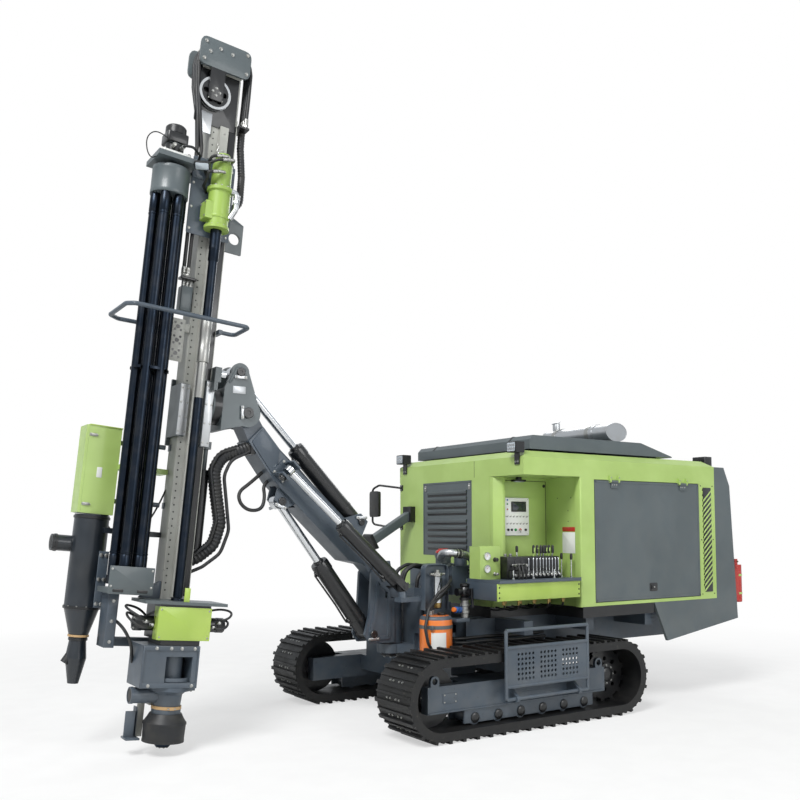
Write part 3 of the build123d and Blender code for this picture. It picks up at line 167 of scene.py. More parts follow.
def bare_metal(name, tint, shade, roughness, line_mm, bump_mm, axis_scale, dust=0.1):
    """Worked metal: fine lines left by the tool, stretched along one axis, and a thin stain."""
    material, tree, output, place = new_material(name)
    stretched = add(tree, "ShaderNodeMapping", {"Vector": place, "Scale": axis_scale}).outputs["Vector"]
    lines = add(tree, "ShaderNodeTexNoise", {"Vector": stretched, "Scale": 1000.0 / line_mm, "Detail": 3.0})
    stain = patches(tree, place, 90.0, 4.0, 0.45, 0.7)
    base = blended(tree, lines.outputs["Fac"], colour(tint), colour(shade))
    base = blended(tree, times(tree, stain, dust), base, colour(DUST))
    matt = add(tree, "ShaderNodeMapRange",
               {"Value": lines.outputs["Fac"], "To Min": roughness - 0.06, "To Max": roughness + 0.1})
    bump = add(tree, "ShaderNodeBump",
               {"Height": lines.outputs["Fac"], "Distance": bump_mm / 1000.0, "Strength": 0.5})
    shader = add(tree, "ShaderNodeBsdfPrincipled",
                 {"Base Color": base, "Metallic": 1.0, "Roughness": matt.outputs["Result"],
                  "Normal": bump.outputs["Normal"]})
    tree.links.new(shader.outputs["BSDF"], output.inputs["Surface"])
    return material


def soft_skin(name, tint, shade, roughness, grain_mm, bump_mm, dust):
    """Rubber or moulded plastic: a fine even grain and dust in its dips."""
    material, tree, output, place = new_material(name)
    grain = add(tree, "ShaderNodeTexVoronoi", {"Vector": place, "Scale": 1000.0 / grain_mm})
    film = patches(tree, place, 120.0, 4.0, 0.4, 0.7)
    base = blended(tree, film, colour(tint), colour(shade))
    base = blended(tree, times(tree, film, dust), base, colour(DUST))
    bump = add(tree, "ShaderNodeBump",
               {"Height": grain.outputs["Distance"], "Distance": bump_mm / 1000.0, "Strength": 0.5})
    shader = add(tree, "ShaderNodeBsdfPrincipled",
                 {"Base Color": base, "Roughness": roughness, "Normal": bump.outputs["Normal"],
                  "IOR": 1.5})
    tree.links.new(shader.outputs["BSDF"], output.inputs["Surface"])
    return material


# Lime two-part enamel, sprayed on sheet steel: even and slightly glossy, dusty low down
LIME = coat("lime_enamel_sheet", "ABC672", "A2BD68", 0.42, 7.0, 0.12, 0.14, coat_weight=0.25)
# The same enamel on castings and the console, a stronger lime where it was repainted
LIME_STRONG = coat("lime_enamel_casting", "B0CA5E", "A2BE50", 0.40, 5.0, 0.2, 0.12, coat_weight=0.25)
# Lime enamel darkened as painted shade, for the cast rotary head
LIME_PAINTED_SHADE = coat("lime_enamel_painted_shade", "93B04E", "86A344", 0.42, 5.0, 0.25, 0.12, coat_weight=0.2)
# Grey enamel on the roof band and the rear cowl
GREY = coat("grey_enamel_sheet", "535C5F", "4E575A", 0.44, 7.0, 0.12, 0.10, coat_weight=0.2)
# Blue-grey enamel on the boom and the track frames, brushed over welds
BLUE_GREY = coat("blue_grey_enamel_plate", "46515C", "3F4A55", 0.44, 9.0, 0.25, 0.10, coat_weight=0.2,
                 chips="2E2A27", chip_amount=0.3)
# Near-black enamel on frames and cylinder barrels, satin with a cold sheen
BLACK = coat("black_enamel_steel", "0C0E11", "090A0D", 0.36, 6.0, 0.18, 0.02, coat_weight=0.3)
# Dark navy enamel on the dust collector
NAVY = coat("navy_enamel_sheet", "141D26", "0F171E", 0.34, 7.0, 0.15, 0.03, coat_weight=0.4)
# Pale grey-beige enamel on the feed beam, rubbed by hoses and dust
BEAM = coat("beam_enamel_plate", "A9AAA4", "9B9C96", 0.45, 9.0, 0.2, 0.15, coat_weight=0.1,
            chips="5B5A57", chip_amount=0.4)
# Orange enamel on the oil tank, glossy
ORANGE = coat("orange_enamel_tank", "EB7A1E", "DE6C18", 0.30, 6.0, 0.1, 0.15, coat_weight=0.4)
# Red enamel on the extinguishers, glossy
RED = coat("red_enamel_bottle", "B52A20", "A8221A", 0.26, 6.0, 0.08, 0.10, coat_weight=0.5)
# Cast and rolled track steel under dark paint: worn to bare metal on the grousers, rusty in the dips
TRACK = coat("track_steel_worn", "0C0D0F", "08090A", 0.48, 4.0, 0.5, 0.02, metallic=0.1,
             chips="5E5850", chip_amount=0.2)
# Oiled drill steel, blue-black from heat treatment, with lines from turning
DRILL_STEEL = bare_metal("drill_steel_oiled", "2B333E", "1B212A", 0.32, 3.0, 0.08, (1.0, 1.0, 0.05), 0.04)
# Hard chrome on cylinder rods: ground and polished, with an oil film
CHROME = bare_metal("hard_chrome_rod", "DADCDE", "C6C9CC", 0.12, 2.0, 0.01, (1.0, 1.0, 1.0), 0.03)
# Aluminised sheet of the silencer, rolled lines and heat stain
SILVER = bare_metal("aluminised_sheet", "C4C6C8", "AFB2B4", 0.36, 2.5, 0.03, (1.0, 0.04, 1.0), 0.15)
# Zinc-plated fittings and bolts, grey with a faint yellow
ZINC = bare_metal("zinc_plated_steel", "B4B4B0", "9A9B99", 0.38, 4.0, 0.05, (1.0, 1.0, 1.0), 0.2)
# Brass fittings
BRASS = bare_metal("turned_brass", "A48A55", "8A7243", 0.30, 3.0, 0.04, (1.0, 1.0, 1.0), 0.1)
# Moulded rubber of skirts and hoses
RUBBER = soft_skin("moulded_rubber", "16181B", "101214", 0.50, 3.0, 0.15, 0.05)
# Woven polyester strap, tan
STRAP = soft_skin("polyester_strap_tan", "C3A173", "B08E62", 0.70, 1.2, 0.2, 0.10)
# Glass-filled nylon of knobs and handles
NYLON = soft_skin("moulded_nylon", "1A1B1D", "141517", 0.38, 2.0, 0.05, 0.06)
# White enamel on plates and gauge dials
WHITE = coat("white_enamel_plate", "E8E9E6", "DDDFDC", 0.40, 4.0, 0.03, 0.10, coat_weight=0.2)
# Coloured caps of the lamps and buttons: moulded acrylic
GREEN = soft_skin("green_acrylic_cap", "2E8A4A", "26773F", 0.25, 1.5, 0.02, 0.03)
BLUE = soft_skin("blue_acrylic_cap", "2C5FA8", "255394", 0.25, 1.5, 0.02, 0.03)
# Glass over the display, dark and glossy
SCREEN = coat("display_glass", "2B333A", "232A30", 0.08, 30.0, 0.005, 0.04, coat_weight=0.8)
# Clear glass of lamps and mirror over a bright back
LENS = coat("lamp_glass", "CDD6DC", "B9C3CB", 0.10, 12.0, 0.02, 0.06, metallic=0.4, coat_weight=0.8)

finishes = {
    "lime_paint": LIME,
    "grey_paint": GREY,
    "blue_grey_paint": BLUE_GREY,
    "dark_paint": BLACK,
    "beam_paint": BEAM,
    "red_paint": RED,
    "track_steel": TRACK,
    "drill_steel": DRILL_STEEL,
    "chrome_rod": CHROME,
    "silver_sheet": SILVER,
    "black_rubber": RUBBER,
}
# Nodes whose finish in the photograph differs from their slot's
# The rotary head takes the lime darkened as painted shade
node_finish = {"carriage": GREY, "magazine_frame": GREY, "suction_hood": BLUE_GREY,
    "deck_fittings": BLUE_GREY, "boom_pedestal": BLUE_GREY, "chassis_frame": BLUE_GREY,
    "step_platform": BLUE_GREY, "dust_collector": NAVY, "feed_cradle": GREY, "head_bracket": GREY,
    "hoop_guard": BLUE_GREY, "roof_lid": GREY, "clamp_unit": BLACK, "rotary_head": LIME_PAINTED_SHADE}
node_slots = {row["node"]: row["material_slot"] for row in frame["record"]["subparts"]}
for node, part in frame["nodes"].items():
    part.data.materials.clear()
    part.data.materials.append(node_finish.get(node, finishes[node_slots[node]]))

# CAD nodes keep their shape; their long edges get a small machined or folded radius
edge_widths = {"boom": 0.006, "feed_beam": 0.004, "left_track": 0.002, "right_track": 0.002}
for node, part in frame["nodes"].items():
    soften = part.modifiers.new("edge_radius", "BEVEL")
    soften.width = edge_widths.get(node, 0.003)
    soften.segments = 2
    soften.limit_method = "ANGLE"
    soften.angle_limit = math.radians(40.0)
    soften.harden_normals = True
    part.data.set_sharp_from_angle(angle=math.radians(35.0))


# A frame is a place and three axes. A shape is an array of points and a list of faces.
GROUND = (np.zeros(3), np.eye(3))
mast_lean = math.radians(5.2)
MAST = (np.array([2.645, 0.0, 0.0]),
        np.array([[math.cos(mast_lean), 0.0, math.sin(mast_lean)], [0.0, 1.0, 0.0],
                  [-math.sin(mast_lean), 0.0, math.cos(mast_lean)]]))
BOOM = (np.array([0.625, 0.0, 1.280]),
        np.array([[1.0, 0.0, 1.0], [0.0, math.sqrt(2.0), 0.0], [-1.0, 0.0, 1.0]]) / math.sqrt(2.0))


def unit(vector):
    """A vector of length 1."""
    vector = np.asarray(vector, float)
    return vector / np.linalg.norm(vector)


def put(frame, points):
    """Points of a frame as points of the machine's frame."""
    return frame[0] + np.asarray(points, float) @ frame[1]


def stand(place, facing, up=(0.0, 0.0, 1.0), outer=GROUND):
    """A frame at a place of an outer one: z faces a way, and y is as near to up as that leaves."""
    z = unit(facing)
    x = np.cross(up, z)
    x = unit(x) if np.linalg.norm(x) > 1e-6 else np.array([1.0, 0.0, 0.0])
    axes = np.array([x, np.cross(z, x), z])
    return put(outer, place), axes @ outer[1]


def upright(x, y, z=0.0):
    """A frame at a place of the machine's frame, turned as that is."""
    return np.array([x, y, z]), np.eye(3)


def machine_side(y, hand=1.0):
    """A frame on the machine's left, or right, side at y: its x runs back, or forward, its y up."""
    return stand((0.0, y, 0.0), (0.0, hand, 0.0))


def spots(frame, places):
    """Frames at places (x, y) or (x, y, z) of a frame, turned as it is."""
    return [(put(frame, (*place, 0.0)[:3]), frame[1]) for place in places]


def net(rows, around=True, along=False, caps=True):
    """Quads over rows of points. around joins each row's end to its start, along the last row to the
    first, and caps closes the first and the last row."""
    rows = np.asarray(rows, float)
    count, width = rows.shape[:2]
    i = np.arange(count if along else count - 1)[:, None]
    j = np.arange(width if around else width - 1)[None, :]
    next_i, next_j = (i + 1) % count, (j + 1) % width
    quads = np.stack(np.broadcast_arrays(i * width + j, i * width + next_j, next_i * width + next_j,
                                         next_i * width + j), -1)
    faces = quads.reshape(-1, 4).tolist()
    if caps and around and not along:
        faces.append(list(range(width))[::-1])
        faces.append(list(range((count - 1) * width, count * width)))
    return rows.reshape(-1, 3), faces


def copies(shape, frames):
    """One shape, made at the origin, at each of the frames."""
    points, faces = shape
    placed = np.concatenate([put(frame, points) for frame in frames])
    return (placed, [[corner + k * len(points) for corner in face] for k in range(len(frames))
        for face in faces])


def dotted(shape, frame, places):
    """One shape at each of some places of a frame."""
    return copies(shape, spots(frame, places))


def joined(shapes):
    """Several shapes as one."""
    starts = np.cumsum([0] + [len(points) for points, faces in shapes])
    faces = [[corner + int(start) for corner in face] for start, (_, part) in zip(starts, shapes)
        for face in part]
    return np.concatenate([points for points, _ in shapes]), faces


def ring(radius, steps=24, squash=1.0):
    """A circle's outline: (r cos a, s r sin a) for the angles a of the steps."""
    angle = np.arange(steps) * 2 * np.pi / steps
    return np.column_stack([radius * np.cos(angle), squash * radius * np.sin(angle)])


def circle(radius, start, step, height=0.0):
    """Places (r cos a, r sin a, h) all round, for angles a from a start by a step in degrees."""
    angles = np.radians(np.arange(start, start + 360, step))
    return [(radius * math.cos(a), radius * math.sin(a), height) for a in angles]


def turned(profile, frame=GROUND, steps=28, closed=False):
    """A profile of (radius, height) pairs turned round a frame's z axis, from its low end up the
    outside: point(i, a) = (r_i cos a, r_i sin a, h_i)."""
    rows = [np.column_stack([ring(radius, steps), np.full(steps, height)]) for radius, height in profile]
    points, faces = net(rows, along=closed)
    return put(frame, points), faces


def rounded(corners, radius, steps=4, closed=True):
    """Corners C rounded off: from A to B, each a tangent's length from C along its sides, the curve
    is (1 - t)^2 A + 2 t (1 - t) C + t^2 B."""
    corners = np.asarray(corners, float)
    radii = np.broadcast_to(radius, len(corners))
    t = np.linspace(0.0, 1.0, steps + 1)[:, None]
    line = []
    for k, corner in enumerate(corners):
        before, after = corners[k - 1], corners[(k + 1) % len(corners)]
        if radii[k] == 0 or (not closed and k in (0, len(corners) - 1)):
            line.append(corner[None])
            continue
        back, ahead = before - corner, after - corner
        cosine = np.dot(unit(back), unit(ahead))
        if cosine < -0.99999:
            line.append(corner[None])
            continue
        reach = radii[k] * math.sqrt(max(1 + cosine, 0.0) / max(1 - cosine, 1e-9))
        reach = min(reach, 0.49 * np.linalg.norm(back), 0.49 * np.linalg.norm(ahead))
        start, end = corner + reach * unit(back), corner + reach * unit(ahead)
        line.append((1 - t) ** 2 * start + 2 * t * (1 - t) * corner + t ** 2 * end)
    return np.concatenate(line)


def moved_in(outline, distance):
    """An outline that runs counterclockwise, moved in: each corner goes along (n + m) / (1 + n.m),
    where n and m are the inward normals of its two sides."""
    sides = np.roll(outline, -1, axis=0) - outline
    normals = np.column_stack([-sides[:, 1], sides[:, 0]])
    normals /= np.maximum(np.linalg.norm(normals, axis=1, keepdims=True), 1e-9)
    before = np.roll(normals, 1, axis=0)
    along = (normals + before) / np.maximum(1 + (normals * before).sum(1, keepdims=True), 0.3)
    return outline + distance * along


def counterclockwise(outline):
    """An outline, turned round where it runs clockwise."""
    outline = np.asarray(outline, float)
    after = np.roll(outline, -1, axis=0)
    area = (outline[:, 0] * after[:, 1] - outline[:, 1] * after[:, 0]).sum()
    return outline if area > 0 else outline[::-1]


def slab(outline, low, high, frame=GROUND, edge=0.002):
    """An outline raised from low to high with rounded edges: for t = 0, 45 and 90 degrees it is moved
    in by e (1 - sin t) at a height of e (1 - cos t) from either face."""
    outline = counterclockwise(outline)
    turns = np.radians([0.0, 45.0, 90.0])
    steps = [(edge * (1 - math.sin(t)), edge * (1 - math.cos(t))) for t in turns]
    rows = [np.column_stack([moved_in(outline, inset), np.full(len(outline), low + rise)])
            for inset, rise in steps]
    rows += [np.column_stack([moved_in(outline, inset), np.full(len(outline), high - rise)])
             for inset, rise in steps[::-1]]
    points, faces = net(rows)
    return put(frame, points), faces


def oblong(x, y, radius=0.0, steps=4):
    """A rectangle's outline from x[0] to x[1] and y[0] to y[1] with round corners."""
    corners = [(x[0], y[0]), (x[1], y[0]), (x[1], y[1]), (x[0], y[1])]
    return rounded(corners, radius, steps) if radius else np.array(corners, float)


def brick(x, y, z, frame=GROUND, radius=0.0, edge=0.002):
    """A block with rounded edges between the low and the high value of x, y and z in a frame."""
    return slab(oblong(x, y, radius), z[0], z[1], frame, edge)


def rim(outline, width, low, high, frame=GROUND, slope=0.001):
    """A flat ring of a width inside an outline, from low to high, its edges sloped in."""
    outline = counterclockwise(outline)
    steps = [(0.0, low), (slope, high), (width - slope, high), (width, low)]
    rows = [np.column_stack([moved_in(outline, inset), np.full(len(outline), height)])
        for inset, height in steps]
    points, faces = net(rows, along=True)
    return put(frame, points), faces


def carried(outline, path, side=None, closed=False, scales=None):
    """An outline carried along a path: point(i, j) = p_i + k_i (u_j s_i + v_j (t_i x s_i)), where the
    side s_i is the last one less its part along the path's direction t_i, and k_i its scale."""
    path = np.asarray(path, float)
    ahead = np.roll(path, -1, axis=0) - np.roll(path, 1, axis=0) if closed else np.gradient(path, axis=0)
    ahead /= np.linalg.norm(ahead, axis=1, keepdims=True)
    across = np.cross(ahead[0], (0.0, 0.0, 1.0)) if side is None else np.asarray(side, float)
    if np.linalg.norm(across) < 1e-6:
        across = np.array([0.0, 1.0, 0.0])
    rows = []
    for k, (place, way) in enumerate(zip(path, ahead)):
        across = unit(across - np.dot(across, way) * way)
        scale = 1.0 if scales is None else scales[k]
        rows.append(place + scale * (np.outer(outline[:, 0], across)
                                     + np.outer(outline[:, 1], np.cross(way, across))))
    return net(rows, along=closed)


def tube(points, radius, bend=0.05, steps=12, frame=GROUND):
    """A round bar or pipe along points of a frame with bent corners."""
    path = rounded(put(frame, points), bend, 6, closed=False)
    return carried(ring(radius, steps), path)


slot_of = {material.name: slot for slot, material in finishes.items()}
# The lime darkened as painted shade counts as lime paint too
slot_of[LIME_STRONG.name] = slot_of[LIME_PAINTED_SHADE.name] = "lime_paint"


def piece(name, shapes, material, body="machine", slot=None):
    """A mesh of one or several shapes that rides on a body, smooth except at its sharp edges. It works out
    a slot from its material, or takes the one given, and keeps none."""
    points, faces = joined(shapes) if isinstance(shapes, list) else shapes
    mesh = bpy.data.meshes.new(name)
    mesh.from_pydata(points.tolist(), [], faces)
    mesh.polygons.foreach_set("use_smooth", [True] * len(mesh.polygons))
    mesh.set_sharp_from_angle(angle=math.radians(35.0))
    mesh.materials.append(material)
    made = bpy.data.objects.new(name, mesh)
    bpy.context.collection.objects.link(made)
    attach(made, body)
    slot = slot_of.get(material.name, "") if slot is None else slot
    return made


def bolt(size):
    """A hexagon bolt's head on its washer, of a thread size, from z = 0."""
    washer = turned([(1.05 * size, 0.0), (1.1 * size, 0.03 * size), (1.1 * size, 0.17 * size),
                     (1.05 * size, 0.2 * size)], steps=14)
    head = slab(ring(0.87 * size, 6), 0.2 * size, 0.85 * size, edge=0.08 * size)
    return joined([washer, head])


def screw(size):
    """A low button-head screw with a socket, of a thread size, from z = 0."""
    return turned([(0.9 * size, 0.0), (0.85 * size, 0.2 * size), (0.6 * size, 0.4 * size),
                   (0.35 * size, 0.45 * size), (0.3 * size, 0.15 * size)], steps=12)


def pin_end(radius, height, rim=0.004):
    """The round end of a pin with its chamfer, from z = 0."""
    return turned([(radius, 0.0), (radius, height - rim), (radius - rim, height), (0.4 * radius, height),
                   (0.36 * radius, height - rim)], steps=24)


def hose(name, points, diameter, body, material=None):
    """A hose along control points: a smooth NURBS line with both ends in the object."""
    line = bpy.data.curves.new(name, "CURVE")
    line.dimensions = "3D"
    line.bevel_depth = diameter / 2
    line.bevel_resolution = 3
    line.resolution_u = 8
    line.use_fill_caps = True
    spline = line.splines.new("NURBS")
    spline.points.add(len(points) - 1)
    spline.points.foreach_set("co", np.column_stack([points, np.ones(len(points))]).ravel())
    spline.order_u = 3
    spline.use_endpoint_u = True
    line.materials.append(material or RUBBER)
    made = bpy.data.objects.new(name, line)
    bpy.context.collection.objects.link(made)
    bare = made.copy()
    bare.data = line.copy()
    bare.data.bevel_depth = 0.0
    drawn = bpy.data.meshes.new_from_object(bare)
    route = np.zeros(3 * len(drawn.vertices))
    drawn.vertices.foreach_get("co", route)
    bare_line = bare.data
    bpy.data.objects.remove(bare)
    bpy.data.curves.remove(bare_line)
    bpy.data.meshes.remove(drawn)
    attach(made, body)
    return made


# Body: doors with their folded edges, catches and hinge bolts, their seals and the vents' screws
LEFT, RIGHT, FRONT, UP = (0.0, 1.0, 0.0), (0.0, -1.0, 0.0), (1.0, 0.0, 0.0), (0.0, 0.0, 1.0)
BODY_FRONT, BODY_SIDE = -0.275, 0.980
DOOR_FRONT, DOOR_BACK, DOOR_LOW, DOOR_TOP = -1.141, -2.629, 0.996, 2.124
HINGES = (-1.395, -2.375)
for side, hand, outward in (("left", 1, LEFT), ("right", -1, RIGHT)):
    door = f"{side}_door"
    skin = BODY_SIDE * hand
    panel = stand((0.0, skin, 0.0), outward)
    # The panel's x axis runs backward on the left side
    flip = -hand

    def on_door(x, z, flip=flip):
        """A point of the door's skin, as x and y of its panel frame."""
        return flip * x, z

    border = oblong(sorted((flip * DOOR_BACK, flip * DOOR_FRONT)), (DOOR_LOW, DOOR_TOP), 0.012)
    piece(f"{door}_folded_edge", rim(border, 0.022, -0.001, 0.003, panel), GREY, door)
    catch_x = (DOOR_FRONT + DOOR_BACK) / 2 - 0.04
    catch = spots(panel, [on_door(catch_x, 1.109)])[0]
    dish = brick((-0.055, 0.055), (-0.04, 0.04), (0.0, 0.004), catch, 0.012, 0.0015)
    paddle = brick((-0.035, 0.035), (-0.024, 0.02), (0.004, 0.012), catch, 0.008, 0.003)
    piece(f"{door}_catch", [dish, paddle], BLACK, door)
    piece(f"{door}_catch_key", turned([(0.008, 0.012), (0.008, 0.015), (0.006, 0.016)], catch, 16), ZINC,
        door)
    for hinge, x in zip(("front", "rear"), HINGES):
        leaf_screws = [(*on_door(x + dx, 2.085), 0.012) for dx in (-0.028, 0.0, 0.028)]
        piece(f"{door}_{hinge}_hinge_screws", dotted(screw(0.008), panel, leaf_screws), ZINC, door)
        frame_bolts = [(*on_door(x + dx, 2.153), 0.024) for dx in (-0.056, 0.056)]
        piece(f"{side}_{hinge}_hinge_bolts", dotted(bolt(0.006), panel, frame_bolts), ZINC)
    # Seal round the door's opening, seen in the gap
    gap = oblong(sorted((flip * -2.635, flip * -1.135)), (0.990, 2.130), 0.014)
    piece(f"{side}_door_seal", rim(gap, 0.005, -0.034, -0.01, panel), RUBBER)
    vent_screws = [(flip * x, z, -0.002) for x in (-2.667, -2.853) for z in (1.01, 1.56, 2.11)]
    piece(f"{side}_vent_screws", dotted(screw(0.008), panel, vent_screws), BLACK)

# Front louvre: a hood over each slot, corner catches and a folded rim
louvre = stand((BODY_FRONT - 0.002, 0.0, 0.0), FRONT)
rows = [1.500 + 0.062 * i for i in range(5)] + [1.840 + 0.062 * i for i in range(4)]
hood_line = rounded([(0.017, -0.018), (0.017, 0.002), (0.006, 0.016), (-0.017, 0.008), (-0.017, 0.004),
    (0.004, 0.011), (0.013, 0.0), (0.013, -0.018)], 0.004, 2)
hood_rows = []
for z in rows:
    hood_rows.append(carried(hood_line, put(louvre, [(-0.4775, z, 0.0), (0.1625, z, 0.0)]), side=UP))
piece("louvre_hoods", hood_rows, GREY)
# Black slabs under the hoods: painted shade inside the slots
piece("louvre_slots", [brick((-0.478, 0.163), (z - 0.038, z - 0.008), (-0.001, 0.003), louvre, 0.004)
    for z in rows], BLACK)
piece("louvre_rim", rim(oblong((-0.555, 0.24), (1.41, 2.13), 0.008), 0.018, -0.001, 0.004, louvre), GREY)
catch_base = brick((-0.016, 0.016), (-0.03, 0.03), (0.0, 0.006), radius=0.014, edge=0.002)
catch_knob = turned([(0.009, 0.006), (0.009, 0.012), (0.006, 0.015)], steps=16)
piece("louvre_catches", dotted(joined([catch_base, catch_knob]), louvre, [(-0.515, 2.075), (0.205, 2.075)]),
    ZINC)

# Corner post at the operator's corner, with its chamfer towards the machine's left
post = rounded([(-0.277, 0.505), (-0.277, 0.552), (-0.34, 0.612), (-0.372, 0.612), (-0.372, 0.505)], 0.006,
    2)
piece("corner_post", slab(post, 0.958, 2.148, edge=0.002), LIME)
rear_post = rounded([(-1.004, 0.905), (-0.955, 0.905), (-0.955, 0.979), (-1.004, 0.979)], 0.006, 2)
piece("door_post", slab(rear_post, 0.958, 2.148, edge=0.002), LIME)

# Access panel behind the controls: a seam and four quarter-turn catches
back = machine_side(0.510)
seam = oblong((0.380, 0.965), (1.235, 2.125), 0.01)
piece("access_panel_seam", rim(seam, 0.006, -0.001, 0.0022, back), BLACK)
quarter_turn = joined([turned([(0.016, 0.0), (0.016, 0.003), (0.013, 0.006), (0.009, 0.006)], steps=20),
    brick((-0.012, 0.012), (-0.003, 0.003), (0.006, 0.01), radius=0.002, edge=0.001)])
piece("access_panel_catches", dotted(quarter_turn, back, [(0.405, 1.36), (0.94, 1.36), (0.405, 2.08),
    (0.94, 2.08)]), NYLON)

# Control plate: white enamel with a display, lamps, toggles and buttons
plate = machine_side(0.534)


def on_plate(across, down):
    """A point of the control plate from its top left corner, as shares of its width and height."""
    return 0.425 + 0.300 * across, 1.960 - 0.350 * down


piece("control_face", brick((0.426, 0.724), (1.611, 1.959), (0.0, 0.003), plate, 0.018, 0.001), WHITE)
face_screws = [(*on_plate(a, d), 0.003) for a in (0.05, 0.95) for d in (0.04, 0.5, 0.96)]
piece("control_face_screws", dotted(screw(0.005), plate, face_screws), ZINC)
left, top = on_plate(0.27, 0.10)
right, low = on_plate(0.87, 0.37)
piece("display_bezel", brick((left, right), (low, top), (0.003, 0.01), plate, 0.006, 0.003), NYLON)
piece("display_glass", brick((left + 0.014, right - 0.014), (low + 0.012, top - 0.012), (0.01, 0.0112),
    plate, 0.003, 0.0005), SCREEN)
toggle = joined([turned([(0.0075, 0.003), (0.0075, 0.006), (0.005, 0.007), (0.005, 0.01)], steps=12),
    carried(ring(0.0022, 8), [(0.0, 0.0, 0.009), (0.0, 0.003, 0.016), (0.0, 0.007, 0.024)],
    side=(1.0, 0.0, 0.0), scales=[1.0, 1.1, 1.5])])
toggles = [on_plate(0.10 + 0.133 * i, d) for d in (0.50, 0.69) for i in range(7)]
piece("control_toggles", dotted(toggle, plate, toggles), ZINC)
button = turned([(0.013, 0.003), (0.013, 0.009), (0.011, 0.01), (0.0095, 0.01), (0.0095, 0.014),
    (0.007, 0.0155)], steps=20)
for name, across, material in (("green", 0.44, GREEN), ("red", 0.63, RED)):
    piece(f"control_button_{name}", dotted(button, plate, [on_plate(across, 0.85)]), material, slot="")
knob = joined([turned([(0.011, 0.003), (0.011, 0.012), (0.009, 0.014)], steps=16),
    brick((-0.0025, 0.0025), (-0.01, 0.01), (0.014, 0.022), radius=0.002, edge=0.001)])
piece("control_knobs", dotted(knob, plate, [on_plate(a, 0.85) for a in (0.14, 0.28, 0.85)]), NYLON)
lamp_cap = turned([(0.008, 0.003), (0.008, 0.006), (0.006, 0.009), (0.003, 0.010)], steps=16)
for name, down, material in (("upper", 0.06, BLUE), ("middle", 0.17, GREEN), ("lower", 0.31, RED)):
    piece(f"control_lamp_{name}", dotted(lamp_cap, plate, [on_plate(0.12, down)]), material, slot="")
piece("ignition_key", [tube([(0.6, 1.662, 0.006), (0.6, 1.662, 0.03)], 0.003, frame=plate),
    brick((0.592, 0.608), (1.636, 1.662), (0.022, 0.025), plate, 0.006, 0.001)], ZINC)

# Blank instruction plate on the corner's side wall: white, with a red head
side_wall = stand((-0.975, 0.0, 0.0), FRONT)
piece("instruction_plate", brick((0.723, 0.92), (1.445, 1.64), (0.0, 0.002), side_wall, 0.012, 0.0006),
    WHITE)
piece("instruction_head", brick((0.723, 0.92), (1.646, 1.688), (0.0, 0.002), side_wall, 0.01, 0.0006), RED)
piece("side_wall_screws", dotted(screw(0.006), side_wall, [(0.66, 1.96), (0.84, 1.96), (0.8, 1.84),
    (0.8, 1.74)]), BLACK)
# Work lamp under the roof band, over the controls
canopy_lamp = [brick((-0.62, -0.48), (0.56, 0.63), (2.108, 2.128), radius=0.02, edge=0.005),
    brick((-0.575, -0.525), (0.575, 0.615), (2.128, 2.15), radius=0.008)]
piece("corner_lamp", canopy_lamp, BLACK)
piece("corner_lamp_lens", brick((-0.605, -0.495), (0.572, 0.618), (2.104, 2.109), radius=0.016, edge=0.001),
    LENS)

# Roof band: welds down its front corners and a joint line
for hand in (1, -1):
    seam_path = [(BODY_FRONT - 0.09, 0.89 * hand, 2.371), (BODY_FRONT, BODY_SIDE * hand, 2.311),
        (BODY_FRONT, BODY_SIDE * hand, 2.151)]
    side = "left" if hand > 0 else "right"
    piece(f"roof_band_{side}_weld", carried(ring(0.003, 8), rounded(seam_path, 0.01, 3, closed=False)),
        LIME)
band_front = stand((BODY_FRONT, 0.0, 0.0), FRONT)
piece("roof_band_joint", brick((0.28, 0.284), (2.152, 2.308), (0.0, 0.0012), band_front, edge=0.0004),
    BLACK)

# Work lamps on the roof's front corners: finned housing, lens with its grid of cells, bracket
for name, y in (("right", -0.88), ("left", 0.90)):
    face = stand((BODY_FRONT + 0.070, y, 2.3925), FRONT)
    piece(f"work_lamp_{name}_rim", [brick((-0.06, 0.06), (-0.046, 0.046), (0.0, 0.006), face,
        0.012, 0.002)], BLACK)
    piece(f"work_lamp_{name}_lens", brick((-0.052, 0.052), (-0.038, 0.038), (0.006, 0.008), face,
        0.008, 0.0008), LENS)
    cell = turned([(0.0125, 0.008), (0.0125, 0.0095), (0.009, 0.010), (0.004, 0.0086)], steps=14)
    piece(f"work_lamp_{name}_cells", dotted(cell, face, [(-0.036 + 0.024 * i, -0.0155 + 0.031 * j)
        for i in range(4) for j in range(2)]), SILVER)
    lamp_back = stand((BODY_FRONT - 0.025, y, 2.3925), (-1.0, 0.0, 0.0))
    piece(f"work_lamp_{name}_fins", dotted(brick((-0.0025, 0.0025), (-0.04, 0.04), (0.0, 0.01),
        edge=0.0008), lamp_back, [(-0.05 + 0.0125 * i, 0.0) for i in range(9)]), BLACK)
    piece(f"work_lamp_{name}_bolts", dotted(bolt(0.008), stand((BODY_FRONT + 0.012, y, 2.265), FRONT),
        [(-0.016, 0.0), (0.016, 0.0)]), ZINC)


def evenly(path, step):
    """Points about a step apart along a path, and their lengths along it."""
    path = np.asarray(path, float)
    run = np.concatenate([[0.0], np.cumsum(np.linalg.norm(np.diff(path, axis=0), axis=1))])
    marks = np.linspace(0.0, run[-1], max(int(round(run[-1] / step)), 2) + 1)
    return np.column_stack([np.interp(marks, run, path[:, k]) for k in range(3)]), marks


def sleeve(points, radius, pitch, bend=0.1, steps=14, frame=GROUND, ripple=0.06):
    """A corrugated sleeve along points of a frame: its radius is r (1 + k cos(2 pi s / pitch)) at the
    length s along it."""
    path, marks = evenly(rounded(put(frame, points), bend, 8, closed=False), pitch / 4)
    return carried(ring(radius, steps), path, scales=1 + ripple * np.cos(2 * np.pi * marks / pitch))


